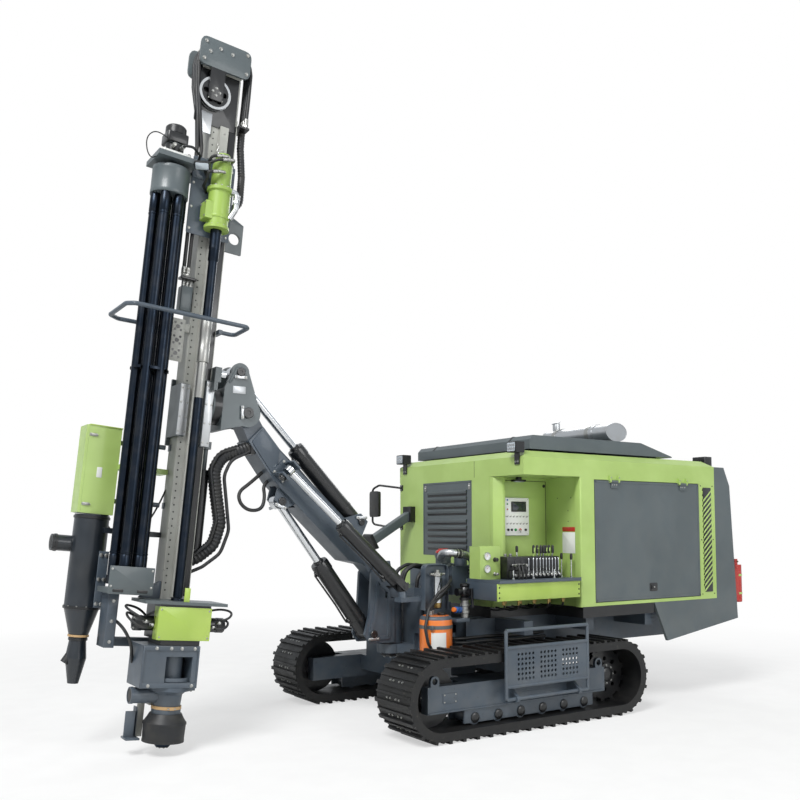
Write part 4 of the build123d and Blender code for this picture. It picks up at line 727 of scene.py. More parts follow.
def fitting(start, end, radius, frame=GROUND):
    """A hose's crimped end: a ferrule with two grooves and a hexagon nut, from start to end."""
    base = put(frame, start)
    along = put(frame, end) - base
    length = np.linalg.norm(along)
    axis = stand(base, along, up=(0.3, 0.5, 0.81))
    grooves = [(1.15, 0.0), (1.25, 0.02), (1.25, 0.25), (1.12, 0.28), (1.12, 0.33), (1.25, 0.36),
        (1.25, 0.58), (0.8, 0.6), (0.8, 0.64)]
    crimp = turned([(radius * r, length * h) for r, h in grooves], axis, 14)
    nut = slab(ring(1.3 * radius, 6), 0.64 * length, length, axis, 0.1 * radius)
    return joined([crimp, nut])


def mast_face(y, facing=1.0):
    """A frame on the mast's left, or right, side at y: its x runs back, or forward, its y up the mast."""
    return stand((0.0, y, 0.0), (0.0, facing, 0.0), outer=MAST)


def mast_line(x, y):
    """A frame up the mast at a place across it."""
    return put(MAST, (x, y, 0.0)), MAST[1]


# Mast head: grey side plates with their bolts, the sheave's bracket and flanges
piece("mast_head_left_plate", brick((-0.2875, 0.1515), (5.4435, 5.6865), (-0.0215, 0.0015), mast_face(0.17),
    0.061, 0.001), GREY, "feed_beam")
piece("mast_head_right_plate", brick((-0.1515, 0.2875), (5.4435, 5.6865), (-0.0265, 0.0015),
    mast_face(-0.125, -1.0), 0.061, 0.001), GREY, "feed_beam")
head_bolts = [(-0.115, 5.655), (0.245, 5.645), (-0.12, 5.49), (0.25, 5.495), (0.015, 5.61),
    (0.12, 5.62), (0.205, 5.57)]
piece("mast_head_bolts", joined([dotted(bolt(0.014), mast_face(0.1715), [(-x, s) for x, s in head_bolts]),
    dotted(bolt(0.014), mast_face(-0.1265, -1.0), head_bolts)]), ZINC, "feed_beam")
sheave_x, sheave_s = 0.12, 5.245
piece("sheave_bracket", brick((-0.182, -0.058), (5.173, 5.5), (-0.0215, 0.0008), mast_face(0.17), 0.03,
    0.001), BLACK, "feed_beam")
piece("sheave_bracket_bolts", dotted(bolt(0.01), mast_face(0.1708), [(-sheave_x + x, sheave_s + s)
    for x, s in ((-0.03, 0.0), (0.03, 0.0), (0.0, 0.03), (0.0, -0.03))]), ZINC, "feed_beam")
for side, y in (("outer", 0.1450), ("inner", 0.1040)):
    flange = rim(ring(0.136, 48), 0.022, 0.0, 0.003, stand((sheave_x, y, sheave_s), (0.0, 1.0, 0.0),
        outer=MAST))
    piece(f"sheave_{side}_flange", flange, SILVER, "hose_sheave")

# Hydraulic hoses over the mast's head, with their clamps and crimped ends
for k, (y, down_x, down_y) in enumerate([(0.126, 0.18, 0.128), (0.08, 0.216, 0.128), (0.045, 0.168, 0.09),
        (0.004, 0.205, 0.09)]):
    over = [(-0.176, y, 5.125), (-0.178, y, 5.3), (-0.176, y, 5.52), (-0.15, y, 5.625), (-0.02, y, 5.648),
        (0.16, y, 5.648), (0.262, y, 5.6), (0.275, y, 5.48), (0.262, y, 5.3),
        (0.5 * (0.262 + down_x), down_y, 5.02), (down_x, down_y, 4.76), (down_x, down_y, 4.3),
        (down_x, down_y, 3.74)]
    piece(f"mast_hose_{k + 1}", tube(over, 0.015, 0.1, 12, MAST), RUBBER, "feed_beam")
    piece(f"mast_hose_{k + 1}_ends", [fitting((-0.176, y, 5.13), (-0.176, y, 5.045), 0.0155, MAST),
        fitting((down_x, down_y, 3.745), (down_x, down_y, 3.665), 0.0155, MAST)], ZINC, "feed_beam")
piece("mast_hose_rear_clamp", brick((-0.205, -0.108), (-0.02, 0.15), (5.035, 5.05), MAST, 0.01), BLACK,
    "feed_beam")
piece("mast_hose_front_clamp", brick((0.108, 0.238), (0.07, 0.15), (3.65, 3.668), MAST, 0.008), BLACK,
    "feed_beam")
piece("mast_junction_box", brick((0.12, 0.215), (0.03, 0.12), (3.4, 3.6), MAST, 0.01, 0.004), GREY,
    "feed_beam")
piece("mast_junction_ends", [fitting((x, 0.1, 3.6), (x, 0.1, 3.655), 0.012, MAST)
    for x in (0.14, 0.17, 0.2)], ZINC, "feed_beam")
piece("head_air_hose", sleeve([(-0.176, 0.045, 5.045), (-0.18, 0.045, 4.9), (-0.215, 0.045, 4.66),
    (-0.205, 0.085, 4.42), (-0.15, 0.11, 4.34), (-0.112, 0.09, 4.34)], 0.03, 0.024, 0.12, frame=MAST),
    RUBBER, "feed_beam")
piece("mast_chain", [carried(ring(0.0035, 6),
    put(MAST, [(0.035 + 0.008 * math.cos(a) * (k % 2), 0.118 + 0.008 * math.cos(a) * ((k + 1) % 2),
    4.712 + 0.024 * k + 0.016 * math.sin(a)) for a in np.linspace(0, 2 * np.pi, 13)[:-1]]), closed=True)
    for k in range(6)], ZINC, "carriage")

# Dark housing behind the sheave, and the carriage's plate beside the head
piece("mast_head_housing", [brick((-0.262, 0.092), (4.985, 5.47), (-0.006, 0.004), mast_face(0.1), 0.02),
    brick((0.1, 0.262), (-0.085, 0.104), (5.44, 5.462), MAST)], BLACK, "feed_beam")
piece("beam_head_plate", [brick((-0.236, -0.112), (4.905, 5.085), (-0.004, 0.004), mast_face(0.106),
    0.006)], SILVER, "feed_beam")

piece("carriage_side_plate", [brick((-0.246, 0.112), (4.02, 4.66), (-0.004, 0.004), mast_face(0.1595),
    0.012), brick((-0.246, -0.15), (4.48, 4.66), (0.004, 0.012), mast_face(0.1595), 0.012)],
    BLUE_GREY, "carriage")

# Beam: a dark strip as painted shade of the recess by the rail, with its pale edge, a row of holes with
# black discs as painted shade inside, and the rail's screws
# Dark strip on the beam's face: painted shade of the recess between its flange and the rail
piece("beam_recess_painted_shade", brick((-0.106, -0.046), (0.0945, 0.101), (1.16, 5.05), MAST, 0.004), BLACK,
    "feed_beam")
piece("beam_strip_pale_edge", brick((-0.1115, -0.106), (0.085, 0.104), (1.16, 5.1), MAST), BEAM, "feed_beam")
row_holes = [(-0.082, 1.20 + 0.055 * k) for k in range(70)]
# Black discs in the holes: painted shade inside them
piece("beam_row_holes", dotted(turned([(0.0065, 0.0), (0.0062, 0.0008)], steps=10), mast_face(0.095),
    row_holes), BLACK, "feed_beam")
rail_screws = [(0.0, 1.19 + 0.15 * k) for k in range(26)]
piece("rail_screws", dotted(screw(0.01), mast_face(0.1245), rail_screws), ZINC, "feed_beam")

# Rotary head: flange bolts, hose elbows and hoses, swivel elbow, carriage plate's bolts
HEAD = mast_line(0.03, 0.25)
piece("rotary_head_bolts", joined([dotted(bolt(0.0105), HEAD, circle(0.093, 15, 30, 4.406)),
    dotted(bolt(0.0085), HEAD, [place for place in circle(0.09, 15, 30, 4.09) if place[1] > -0.02])]), ZINC,
    "carriage")
# The head's top rings take the lime darkened as painted shade
piece("rotary_head_top", joined([turned([(0.052, 4.66), (0.054, 4.664), (0.054, 4.69), (0.05, 4.696)], HEAD,
    28), turned([(0.092, 4.15), (0.0935, 4.154), (0.0935, 4.17), (0.092, 4.174)], HEAD, 36)]),
    LIME_PAINTED_SHADE, "carriage")
for k, (x, s) in enumerate([(-0.030, 4.640), (0.022, 4.655), (0.040, 4.520)]):
    piece(f"head_elbow_{k + 1}", [tube([(x, 0.29, s), (x, 0.345, s), (x + 0.045, 0.345, s - 0.01)], 0.0125,
        0.02, frame=MAST), fitting((x + 0.1, 0.345, s - 0.025), (x + 0.04, 0.345, s - 0.008), 0.012, MAST)],
        ZINC, "carriage")
    piece(f"head_hose_{k + 1}", tube([(x + 0.095, 0.345, s - 0.024), (x + 0.135, 0.345, s - 0.036),
        (0.165, 0.3, s - 0.07), (0.16, 0.215, s - 0.11), (0.125, 0.178, s - 0.13), (0.11, 0.15, s - 0.135)],
        0.0115, 0.05, 12, MAST), RUBBER, "carriage")
piece("head_swivel_elbow",
    [tube([(-0.03, 0.3, 4.395), (-0.085, 0.32, 4.385), (-0.088, 0.318, 4.25), (-0.05, 0.3, 4.165)], 0.023,
    0.04, 14, MAST), fitting((-0.088, 0.319, 4.37), (-0.088, 0.319, 4.29), 0.022, MAST)], SILVER,
    "carriage")
piece("head_side_block_bolts", dotted(bolt(0.008), stand((0.155, 0.25, 4.2), (1.0, 0.0, 0.0), outer=MAST),
    [(y, s) for y in (-0.045, 0.045) for s in (-0.055, 0.055)]), ZINC, "carriage")
piece("carriage_plate_bolts", dotted(bolt(0.01), mast_face(0.1635), [(-x, s) for x in (-0.085, 0.225)
    for s in (4.06, 4.24, 4.44, 4.62)]), ZINC, "carriage")

# Drill string on the spindle: rod, pale coupling, hammer and bit
STRING = mast_line(0.03, 0.25)
rod_profile = [(0.036, 1.195), (0.036, 2.7), (0.036, 3.33), (0.036, 3.8), (0.0365, 3.804), (0.042, 3.812),
    (0.042, 3.9), (0.044, 3.906), (0.044, 3.93)]
piece("drill_rod", turned(rod_profile, STRING, 28), DRILL_STEEL, "spindle")
piece("drill_rod_coupling",
    [turned([(0.0362, 2.7), (0.0375, 2.704), (0.0375, 2.98), (0.0455, 2.986), (0.0465, 2.992),
    (0.0465, 3.1), (0.0445, 3.106), (0.0445, 3.2), (0.0465, 3.206), (0.0465, 3.318), (0.0455, 3.326),
    (0.0362, 3.33)], STRING, 28)], ZINC, "spindle")
piece("hammer_case", turned([(0.0475, 0.124), (0.05, 0.13), (0.05, 1.14), (0.048, 1.148), (0.037, 1.156),
    (0.037, 1.196)], STRING, 28), DRILL_STEEL, "spindle")
piece("hammer_bit", turned([(0.01, 0.055), (0.03, 0.05), (0.048, 0.052), (0.0565, 0.062), (0.0575, 0.086),
    (0.047, 0.104), (0.046, 0.126)], STRING, 28), DRILL_STEEL, "spindle")
piece("bit_buttons", dotted(turned([(0.0002, -0.006), (0.005, -0.004), (0.007, 0.0), (0.007, 0.004)],
    steps=10), STRING, circle(0.04, 0, 45, 0.051)), ZINC, "spindle")

# Magazine: drum's shell, rod ends, motor with its flange, lamp and cable
MAGAZINE = mast_line(0.40, 0.13)
piece("magazine_drum_shell", turned([(0.1455, 4.268), (0.1475, 4.271), (0.1475, 4.3), (0.1462, 4.304),
    (0.1462, 4.456), (0.1475, 4.46), (0.1475, 4.489), (0.1455, 4.492)], MAGAZINE, 48), GREY, "magazine")
rod_joint = turned([(0.0362, 0.0), (0.0385, 0.004), (0.0385, 0.150), (0.0362, 0.154)], steps=20)
piece("rod_joints", joined([dotted(rod_joint, MAGAZINE, circle(0.105, 0, 60, s)) for s in (1.292, 4.112)]),
    DRILL_STEEL, "magazine")
piece("rod_rings", joined([dotted(turned([(0.0362, 0.0), (0.0392, 0.002), (0.0392, 0.012), (0.0362, 0.014)],
    steps=20), MAGAZINE, circle(0.105, 0, 60, s)) for s in (1.452, 4.092)]), DRILL_STEEL, "magazine")
piece("magazine_motor", [turned([(0.07, 4.612), (0.074, 4.616), (0.074, 4.69), (0.064, 4.7)], MAGAZINE, 28),
    brick((-0.086, 0.086), (-0.084, 0.084), (4.698, 4.78), MAGAZINE, 0.022, 0.008),
    turned([(0.076, 4.778), (0.082, 4.784), (0.082, 4.838), (0.072, 4.85), (0.03, 4.854)], MAGAZINE, 28)],
    BLACK, "feed_beam")
piece("magazine_motor_flange", brick((-0.117, 0.121), (-0.11, 0.11), (4.571, 4.592), MAGAZINE, 0.02), GREY,
    "feed_beam")
piece("magazine_motor_plate", brick((-0.113, 0.117), (-0.106, 0.106), (4.592, 4.612), MAGAZINE, 0.02),
    WHITE, "feed_beam")
piece("magazine_motor_bolts", dotted(bolt(0.012), MAGAZINE, [(x, y, 4.612) for x in (-0.097, 0.1)
    for y in (-0.092, 0.092)]), ZINC, "feed_beam")
piece("magazine_motor_ports", [fitting((x, 0.07, 4.655), (x, 0.13, 4.655), 0.012, MAGAZINE)
    for x in (-0.035, 0.035)], ZINC, "feed_beam")
piece("magazine_motor_hose", tube([(-0.035, 0.125, 4.655), (-0.037, 0.15, 4.655), (-0.1, 0.165, 4.66),
    (-0.185, 0.1, 4.64), (-0.19, 0.02, 4.6), (-0.185, -0.002, 4.5)], 0.01, 0.05, 12, MAGAZINE),
    RUBBER, "feed_beam")
hose("magazine_sensor_cable", put(MAGAZINE, [(0.05, 0.075, 4.69), (0.1, 0.11, 4.7), (0.205, 0.14, 4.705),
    (0.265, 0.14, 4.63), (0.245, 0.13, 4.52), (0.19, 0.1, 4.49), (0.15, 0.06, 4.545)]), 0.009, "feed_beam")
LAMP = stand((0.225, 0.325, 4.515), (0.35, 0.55, -0.75), outer=MAST)
piece("magazine_lamp", [brick((-0.062, 0.062), (-0.036, 0.036), (-0.03, 0.0), LAMP, 0.012, 0.005),
    tube([(0.25, 0.275, 4.55), (0.24, 0.31, 4.545), (0.232, 0.312, 4.528)], 0.008, 0.01, frame=MAST)],
    BLACK, "feed_beam")
piece("magazine_lamp_lens", brick((-0.052, 0.052), (-0.028, 0.028), (0.0, 0.002), LAMP, 0.008, 0.0008),
    LENS, "feed_beam")

# Magazine foot: grey plate over the cups with two slots, column and its gusset
piece("magazine_foot_plate", brick((-0.572, -0.241), (1.158, 1.363), (-0.004, 0.004), mast_face(0.294),
    0.006), GREY, "feed_beam")
# Black slabs in the plate's two slots: painted shade inside them
piece("magazine_foot_slots", [brick((x - 0.04, x + 0.04), (1.172, 1.196), (0.004, 0.0048), mast_face(0.294),
    0.008, 0.0003) for x in (-0.5, -0.32)], BLACK, "feed_beam")
piece("magazine_foot_screws", dotted(bolt(0.008), mast_face(0.298), [(-x, s) for x in (0.258, 0.555)
    for s in (1.215, 1.34)]), ZINC, "feed_beam")
gusset = rounded([(-0.255, 1.16), (-0.115, 1.16), (-0.115, 1.27), (-0.18, 1.235), (-0.255, 1.172)], 0.006,
    2)
piece("magazine_foot_gusset", slab(gusset, -0.006, 0.006, mast_face(0.06)), BLUE_GREY, "feed_beam")
piece("magazine_column", brick((0.436, 0.512), (-0.064, 0.134), (0.756, 1.158), MAST, 0.006),
    BLUE_GREY, "feed_beam")
piece("magazine_low_arm", brick((0.112, 0.512), (-0.063, 0.003), (0.757, 0.823), MAST, 0.006),
    BLUE_GREY, "feed_beam")
piece("magazine_column_bolts", dotted(bolt(0.012), mast_face(0.134),
    [(-0.474, s) for s in (0.8, 0.95, 1.1)]), ZINC, "feed_beam")

# Perforated plate with its arm in front of the beam, cross tubes to the cabinet
piece("cable_plate", brick((-0.264, -0.15), (2.985, 3.329), (-0.003, 0.003), mast_face(0.11), 0.008), BEAM,
    "feed_beam")
# Black discs in the plate's holes: painted shade inside them
piece("cable_plate_holes",
    joined([dotted(turned([(0.01, 0.0), (0.0096, 0.0008)], steps=14), mast_face(0.113),
    [(-x, s) for x in (0.182, 0.232) for s in (3.02, 3.075, 3.13, 3.185, 3.24, 3.295)]),
    dotted(turned([(0.017, 0.0), (0.0166, 0.0009)], steps=18), mast_face(0.113),
    [(-0.207, s) for s in (3.05, 3.155, 3.265)])]), BLACK, "feed_beam")
piece("cable_plate_arm", brick((0.108, 0.155), (0.08, 0.107), (3.235, 3.3), MAST, 0.004), BEAM, "feed_beam")
for k, (x, s) in enumerate([(0.213, 2.314), (0.210, 1.853)]):
    piece(f"cabinet_tube_{k + 1}", tube([(0.146, -0.07, s), (0.3, -0.075, s), (0.484, -0.19, s)], 0.019,
        0.05, frame=MAST), BLUE_GREY, "feed_beam")
    piece(f"cabinet_tube_{k + 1}_collars", [brick((0.108, 0.117), (-0.09, -0.04), (s - 0.024, s + 0.024),
        MAST, 0.008)], BLUE_GREY, "feed_beam")

# Cradle: zinc-plated slide pads with their bolts on the left and right
for name, x, s in (("front", (0.062, 0.136), (2.408, 2.816)), ("rear", (-0.140, -0.072), (2.345, 2.870))):
    for side, y, hand in (("left", 0.122, 1.0), ("right", -0.122, -1.0)):
        span = sorted((-hand * x[0], -hand * x[1]))
        piece(f"slide_pad_{name}_{side}", brick(span, s, (-0.001, 0.006), mast_face(y, hand), 0.004),
            SILVER, "feed_cradle")
        piece(f"slide_pad_{name}_{side}_bolts",
            copies(bolt(0.008), [(put(mast_face(y + 0.006 * hand, hand), (a, b, 0.0)),
            mast_face(y, hand)[1]) for a in (span[0] + 0.012, span[1] - 0.012)
            for b in np.linspace(s[0] + 0.03, s[1] - 0.03, 4)]), ZINC, "feed_cradle")

# Cabinet: toggle latches, blank plate on its side, roof, cable glands and the cable
cabinet_left = mast_face(-0.130)
latch = joined([brick((-0.03, 0.03), (-0.011, 0.011), (0.0, 0.005), radius=0.004, edge=0.001),
    brick((-0.022, 0.014), (-0.006, 0.006), (0.005, 0.012), radius=0.003, edge=0.001),
    tube([(0.012, 0.0, 0.008), (0.036, 0.0, 0.008)], 0.003)])
piece("cabinet_latches", dotted(latch, cabinet_left,
    [(-x, s, 0.0) for x, s in ((0.695, 2.345), (0.695, 1.809))]), ZINC, "feed_beam")
piece("cabinet_blank_plate", brick((-0.64, -0.6), (2.02, 2.1), (0.0, 0.0015), cabinet_left, 0.004, 0.0005),
    WHITE, "feed_beam")
piece("cabinet_roof", brick((0.474, 0.7285), (-0.336, -0.124), (2.418, 2.426), MAST, 0.006),
    LIME_STRONG, "feed_beam")
piece("cabinet_glands", [fitting((x, -0.23, 1.742), (x, -0.23, 1.7), 0.012, MAST) for x in (0.5, 0.53)],
    NYLON, "feed_beam")
hose("cabinet_cable", put(MAST, [(0.5, -0.23, 1.735), (0.5, -0.23, 1.67), (0.44, -0.16, 1.6),
    (0.25, -0.1, 1.66), (0.16, -0.085, 1.8), (0.108, -0.06, 1.98)]), 0.014, "feed_beam")

# Dust collector: flanges, strap, clean-air mouth and dust outlet
COLLECTOR = mast_line(0.610, -0.225)
piece("collector_flanges", [turned([(0.128, 1.01), (0.139, 1.012), (0.139, 1.03), (0.131, 1.032)],
    COLLECTOR, 40), turned([(0.131, 1.7), (0.137, 1.702), (0.137, 1.72), (0.131, 1.722)], COLLECTOR, 40),
    turned([(0.06, 0.772), (0.071, 0.774), (0.071, 0.792), (0.06, 0.794)], COLLECTOR, 32)], BLACK,
    "feed_beam")
piece("collector_flange_bolts", dotted(bolt(0.007), COLLECTOR, circle(0.1335, 0, 30, 1.03)), ZINC,
    "feed_beam")
piece("collector_strap", [rim(ring(0.0785, 36), 0.010, 0.800, 0.816, COLLECTOR)], STRAP, "feed_beam")
inlet = stand((0.880, -0.285, 1.500), (1.0, 0.0, 0.0), outer=MAST)
piece("collector_inlet_rim", [rim(ring(0.068, 32), 0.012, -0.04, -0.022, inlet), rim(ring(0.064, 32), 0.006,
    -0.018, -0.001, inlet)], BLACK, "feed_beam")
# Dark disc across the inlet: painted shade inside the pipe
piece("collector_inlet_mouth", turned([(0.05, -0.0005), (0.05, 0.0008), (0.049, 0.001)], inlet, 28),
    RUBBER, "feed_beam")
piece("collector_outlet", tube([(0.61, -0.225, 0.7), (0.655, -0.225, 0.66), (0.69, -0.225, 0.6)], 0.034,
    0.04, 20, MAST), RUBBER, "feed_beam")
piece("collector_side_plate", brick((0.484, 0.56), (-0.104, -0.092), (1.03, 1.46), MAST, 0.006),
    BLUE_GREY, "feed_beam")
piece("collector_side_bolts", dotted(bolt(0.014), mast_face(-0.092), [(-x, s) for x in (0.503, 0.541)
    for s in (1.06, 1.245, 1.43)]), ZINC, "feed_beam")


def holed(x, y, centre, radius, low, high, frame, steps=48):
    """A rectangular plate with a round hole: for each angle a, its outline is where the ray from the
    hole's centre at a meets the rectangle, and its hole is r (cos a, sin a) about the centre."""
    centre = np.array(centre)
    angles = np.unique(np.concatenate([(np.arange(steps) + 0.5) * 2 * np.pi / steps]
        + [[math.atan2(b - centre[1], a - centre[0]) % (2 * np.pi)] for a in x for b in y]))
    way = np.column_stack([np.cos(angles), np.sin(angles)])
    with np.errstate(divide="ignore"):
        reach = np.min([np.where(way[:, 0] > 0, x[1] - centre[0], x[0] - centre[0]) / way[:, 0],
            np.where(way[:, 1] > 0, y[1] - centre[1], y[0] - centre[1]) / way[:, 1]], axis=0)
    outer, inner = centre + reach[:, None] * way, centre + radius * way
    rows = [np.column_stack([line, np.full(len(line), height)])
        for line, height in ((outer, low), (outer, high), (inner, high), (inner, low))]
    points, faces = net(rows, along=True)
    return put(frame, points), faces


# Grey plate with its round hole behind the beam
HOLED_PLATE = mast_face(0.087)
piece("beam_holed_plate", [holed((0.109, 0.2615), (3.9785, 4.221), (0.19, 4.1), 0.0485, -0.0235, 0.0015,
    HOLED_PLATE), slab(np.array([(0.109, 4.221), (0.2615, 4.221), (0.2615, 4.2315), (0.109, 4.3015)]),
    -0.0235, 0.0015, HOLED_PLATE)], GREY, "feed_beam")

# Clamp: table plates and sides, black cylinders, lime front cover with its tab, hoses
piece("clamp_table_skin", [holed((-0.3015, 0.3315), (0.0945, 0.4415), (0.03, 0.25), 0.0675, low, high, MAST)
    for low, high in ((1.1085, 1.1105), (1.1295, 1.1315))], GREY, "feed_beam")
piece("clamp_table_edge", rim(oblong((-0.302, 0.332), (0.094, 0.442)), 0.0025, 1.109, 1.131, MAST, 0.0005),
    GREY, "feed_beam")
piece("clamp_side_skins", [brick((low, high), (0.096, 0.4125), (0.849, 1.109), MAST)
    for low, high in ((-0.1825, -0.1795), (0.2045, 0.2075))], BLACK, "feed_beam")
for side, start, end in (("front", 0.2095, 0.363), ("rear", -0.1815, -0.333)):
    way = 1.0 if end > start else -1.0
    barrel = stand((start, 0.300, 0.960), (way, 0.0, 0.0), outer=MAST)
    length = abs(end - start)
    piece(f"clamp_cylinder_{side}", turned([(0.0535, 0.0), (0.0545, 0.003), (0.0545, 0.6 * length),
        (0.057, 0.62 * length), (0.057, 0.97 * length), (0.054, length)], barrel, 32), BLACK, "feed_beam")
    piece(f"clamp_cylinder_{side}_bolts", dotted(bolt(0.008), barrel, circle(0.042, 0, 60, length)), ZINC,
        "feed_beam")
clamp_face = mast_face(0.428)
piece("clamp_cover", [brick((-0.221, 0.184), (0.849, 1.092), (-0.003, 0.0015), clamp_face, 0.004),
    brick((0.2185, 0.2215), (0.33, 0.428), (0.85, 1.091), MAST), brick((-0.1845, -0.1815), (0.33, 0.428),
    (0.85, 1.091), MAST)], LIME_STRONG, "feed_beam")
piece("clamp_tab", brick((-0.042, 0.002), (1.131, 1.235), (-0.004, 0.004), mast_face(0.425), 0.004),
    LIME_STRONG, "feed_beam")
piece("clamp_cover_screws", dotted(screw(0.008), mast_face(0.4295), [(-x, s) for x in (-0.165, 0.203)
    for s in (0.87, 1.07)]), ZINC, "feed_beam")
piece("beam_gusset", slab(rounded([(-0.29, 1.131), (-0.112, 1.131), (-0.112, 1.27), (-0.15, 1.245)], 0.006,
    2), -0.006, 0.006, mast_face(0.08)), BLUE_GREY, "feed_beam")
clamp_hoses = [
    [(0.3, 0.352, 0.975), (0.3, 0.395, 0.985), (0.375, 0.44, 1.02), (0.45, 0.36, 1.07), (0.4, 0.2, 1.085),
         (0.26, 0.12, 1.05), (0.213, 0.11, 1.0)],
    [(0.25, 0.352, 0.95), (0.25, 0.405, 0.94), (0.34, 0.47, 0.93), (0.44, 0.4, 1.0), (0.4, 0.22, 1.04),
         (0.26, 0.14, 0.97), (0.213, 0.13, 0.93)],
    [(-0.27, 0.352, 0.98), (-0.27, 0.395, 0.995), (-0.335, 0.44, 1.03), (-0.385, 0.34, 1.07),
         (-0.34, 0.2, 1.08), (-0.22, 0.12, 1.04), (-0.186, 0.11, 1.0)],
    [(-0.225, 0.352, 0.945), (-0.225, 0.41, 0.935), (-0.3, 0.45, 0.945), (-0.36, 0.36, 1.0),
         (-0.31, 0.2, 1.0), (-0.22, 0.14, 0.95), (-0.186, 0.13, 0.91)],
]
for k, points in enumerate(clamp_hoses):
    hose(f"clamp_hose_{k + 1}", put(MAST, points), 0.018, "feed_beam")
piece("clamp_hose_ends", [fitting(points[0], (points[0][0], 0.395, points[0][2] + 0.003), 0.01, MAST)
    for points in clamp_hoses], ZINC, "feed_beam")
low_hose = [(0.46, -0.02, 1.0), (0.46, 0.02, 0.98), (0.4, 0.18, 0.92), (0.335, 0.22, 0.8),
    (0.315, 0.2, 0.7), (0.299, 0.17, 0.66)]
hose("hood_hose", put(MAST, low_hose), 0.024, "feed_beam")

# Suction hood: ribs and bolts on the guide box, split ring with lugs, open side outlet, brass strap
piece("guide_box_ribs", [brick((low, high), (0.4, 0.408), (0.5, 0.806), MAST)
    for low, high in ((-0.13, -0.118), (0.287, 0.299))]
    + [brick((-0.13, 0.299), (0.4, 0.406), (0.77, 0.806), MAST), brick((-0.13, 0.299), (0.4, 0.406),
    (0.5, 0.536), MAST)], BLUE_GREY, "feed_beam")
piece("guide_box_bolts", dotted(bolt(0.012), mast_face(0.406),
    [(-x, 0.788) for x in (-0.09, 0.01, 0.09, 0.2)] + [(-x, 0.518) for x in (-0.09, 0.24)]), ZINC,
    "feed_beam")
piece("hood_split_ring", [rim(ring(0.162, 48), 0.02, 0.47, 0.5, HEAD), rim(ring(0.158, 48), 0.012, 0.545,
    0.57, HEAD)], BLUE_GREY, "feed_beam")
piece("hood_ring_lugs", [brick((low, high), (-0.022, 0.022), (0.462, 0.58), HEAD, 0.006)
    for low, high in ((-0.205, -0.15), (0.15, 0.205))], BLUE_GREY, "feed_beam")
piece("hood_ring_lug_bolts", [turned([(0.009, 0.452), (0.009, 0.592), (0.006, 0.595)],
    mast_line(0.03 + x, 0.25), 12) for x in (-0.18, 0.18)], ZINC, "feed_beam")
outlet = stand((0.315, 0.250, 0.430), (1.0, 0.0, 0.0), outer=MAST)
piece("hood_outlet_rim", [rim(ring(0.062, 36), 0.012, -0.02, 0.004, outlet), rim(ring(0.06, 36), 0.004,
    -0.12, -0.09, outlet)], BLUE_GREY, "feed_beam")
# Dark disc across the open outlet: painted shade inside it
piece("hood_outlet_mouth", turned([(0.0495, -0.0005), (0.0495, 0.001), (0.048, 0.0012)], outlet, 28),
    RUBBER, "feed_beam")
piece("hood_strap", [rim(ring(0.1115, 44), 0.008, 0.333, 0.355, HEAD),
    brick((-0.018, 0.018), (0.108, 0.128), (0.334, 0.354), HEAD, 0.004)], STRAP, "feed_beam")
piece("hood_strap_bolt", tube([(-0.03, 0.12, 0.344), (0.032, 0.12, 0.344)], 0.0045, frame=HEAD), ZINC,
    "feed_beam")
piece("skirt_rim", [rim(ring(0.1555, 44), 0.01, 0.094, 0.112, HEAD), rim(ring(0.161, 44), 0.01, 0.222,
    0.236, HEAD)], RUBBER, "feed_beam")
piece("foot_rest", [brick((0.212, 0.302), (0.15, 0.162), (0.1, 0.3), MAST, 0.006),
    brick((0.196, 0.302), (0.1, 0.225), (0.098, 0.112), MAST, 0.006), brick((0.216, 0.228), (0.1, 0.162),
    (0.112, 0.33), MAST)], BLUE_GREY, "feed_beam")
piece("foot_rest_bar", brick((0.15, 0.205), (0.1, 0.118), (0.105, 0.5), MAST, 0.006), BEAM, "feed_beam")


# Boom: reinforcement plates at its tip, side seams, recessed covers, pins with keepers
def boom_side(left, facing=1.0):
    """A frame on the boom's left, or right, side; its x runs back, or forward, its y across the boom."""
    return stand((0.0, left, 0.0), (0.0, facing, 0.0), outer=BOOM)


def kept_pin(name, place, radius, reach, body, turn=0.0):
    """The two ends of a pin across the machine, each with its chamfer, and a keeper plate with two
    bolts let into its edge at an angle."""
    ends, keepers, bolts = [], [], []
    for facing in (1.0, -1.0):
        end = stand((place[0], facing * reach, place[1]), (0.0, facing, 0.0))
        ends.append(copies(pin_end(radius, 0.016, 0.004), [end]))
        way = np.array([math.cos(turn), math.sin(turn)])
        side = np.array([-way[1], way[0]])
        middle = 0.86 * radius * way
        corners = [middle + a * way + b * side for a, b in ((0.0, -0.055), (0.026, -0.055),
            (0.026, 0.055), (0.0, 0.055))]
        keepers.append(slab(rounded(corners, 0.006, 3), -0.004, 0.010, end, 0.0015))
        bolts.append(dotted(bolt(0.01), end, [(*middle + 0.013 * way + b * side, 0.01)
            for b in (-0.04, 0.04)]))
    piece(f"{name}_ends", ends, BLACK, body)
    piece(f"{name}_keepers", keepers, SILVER, body)
    piece(f"{name}_bolts", bolts, ZINC, body)


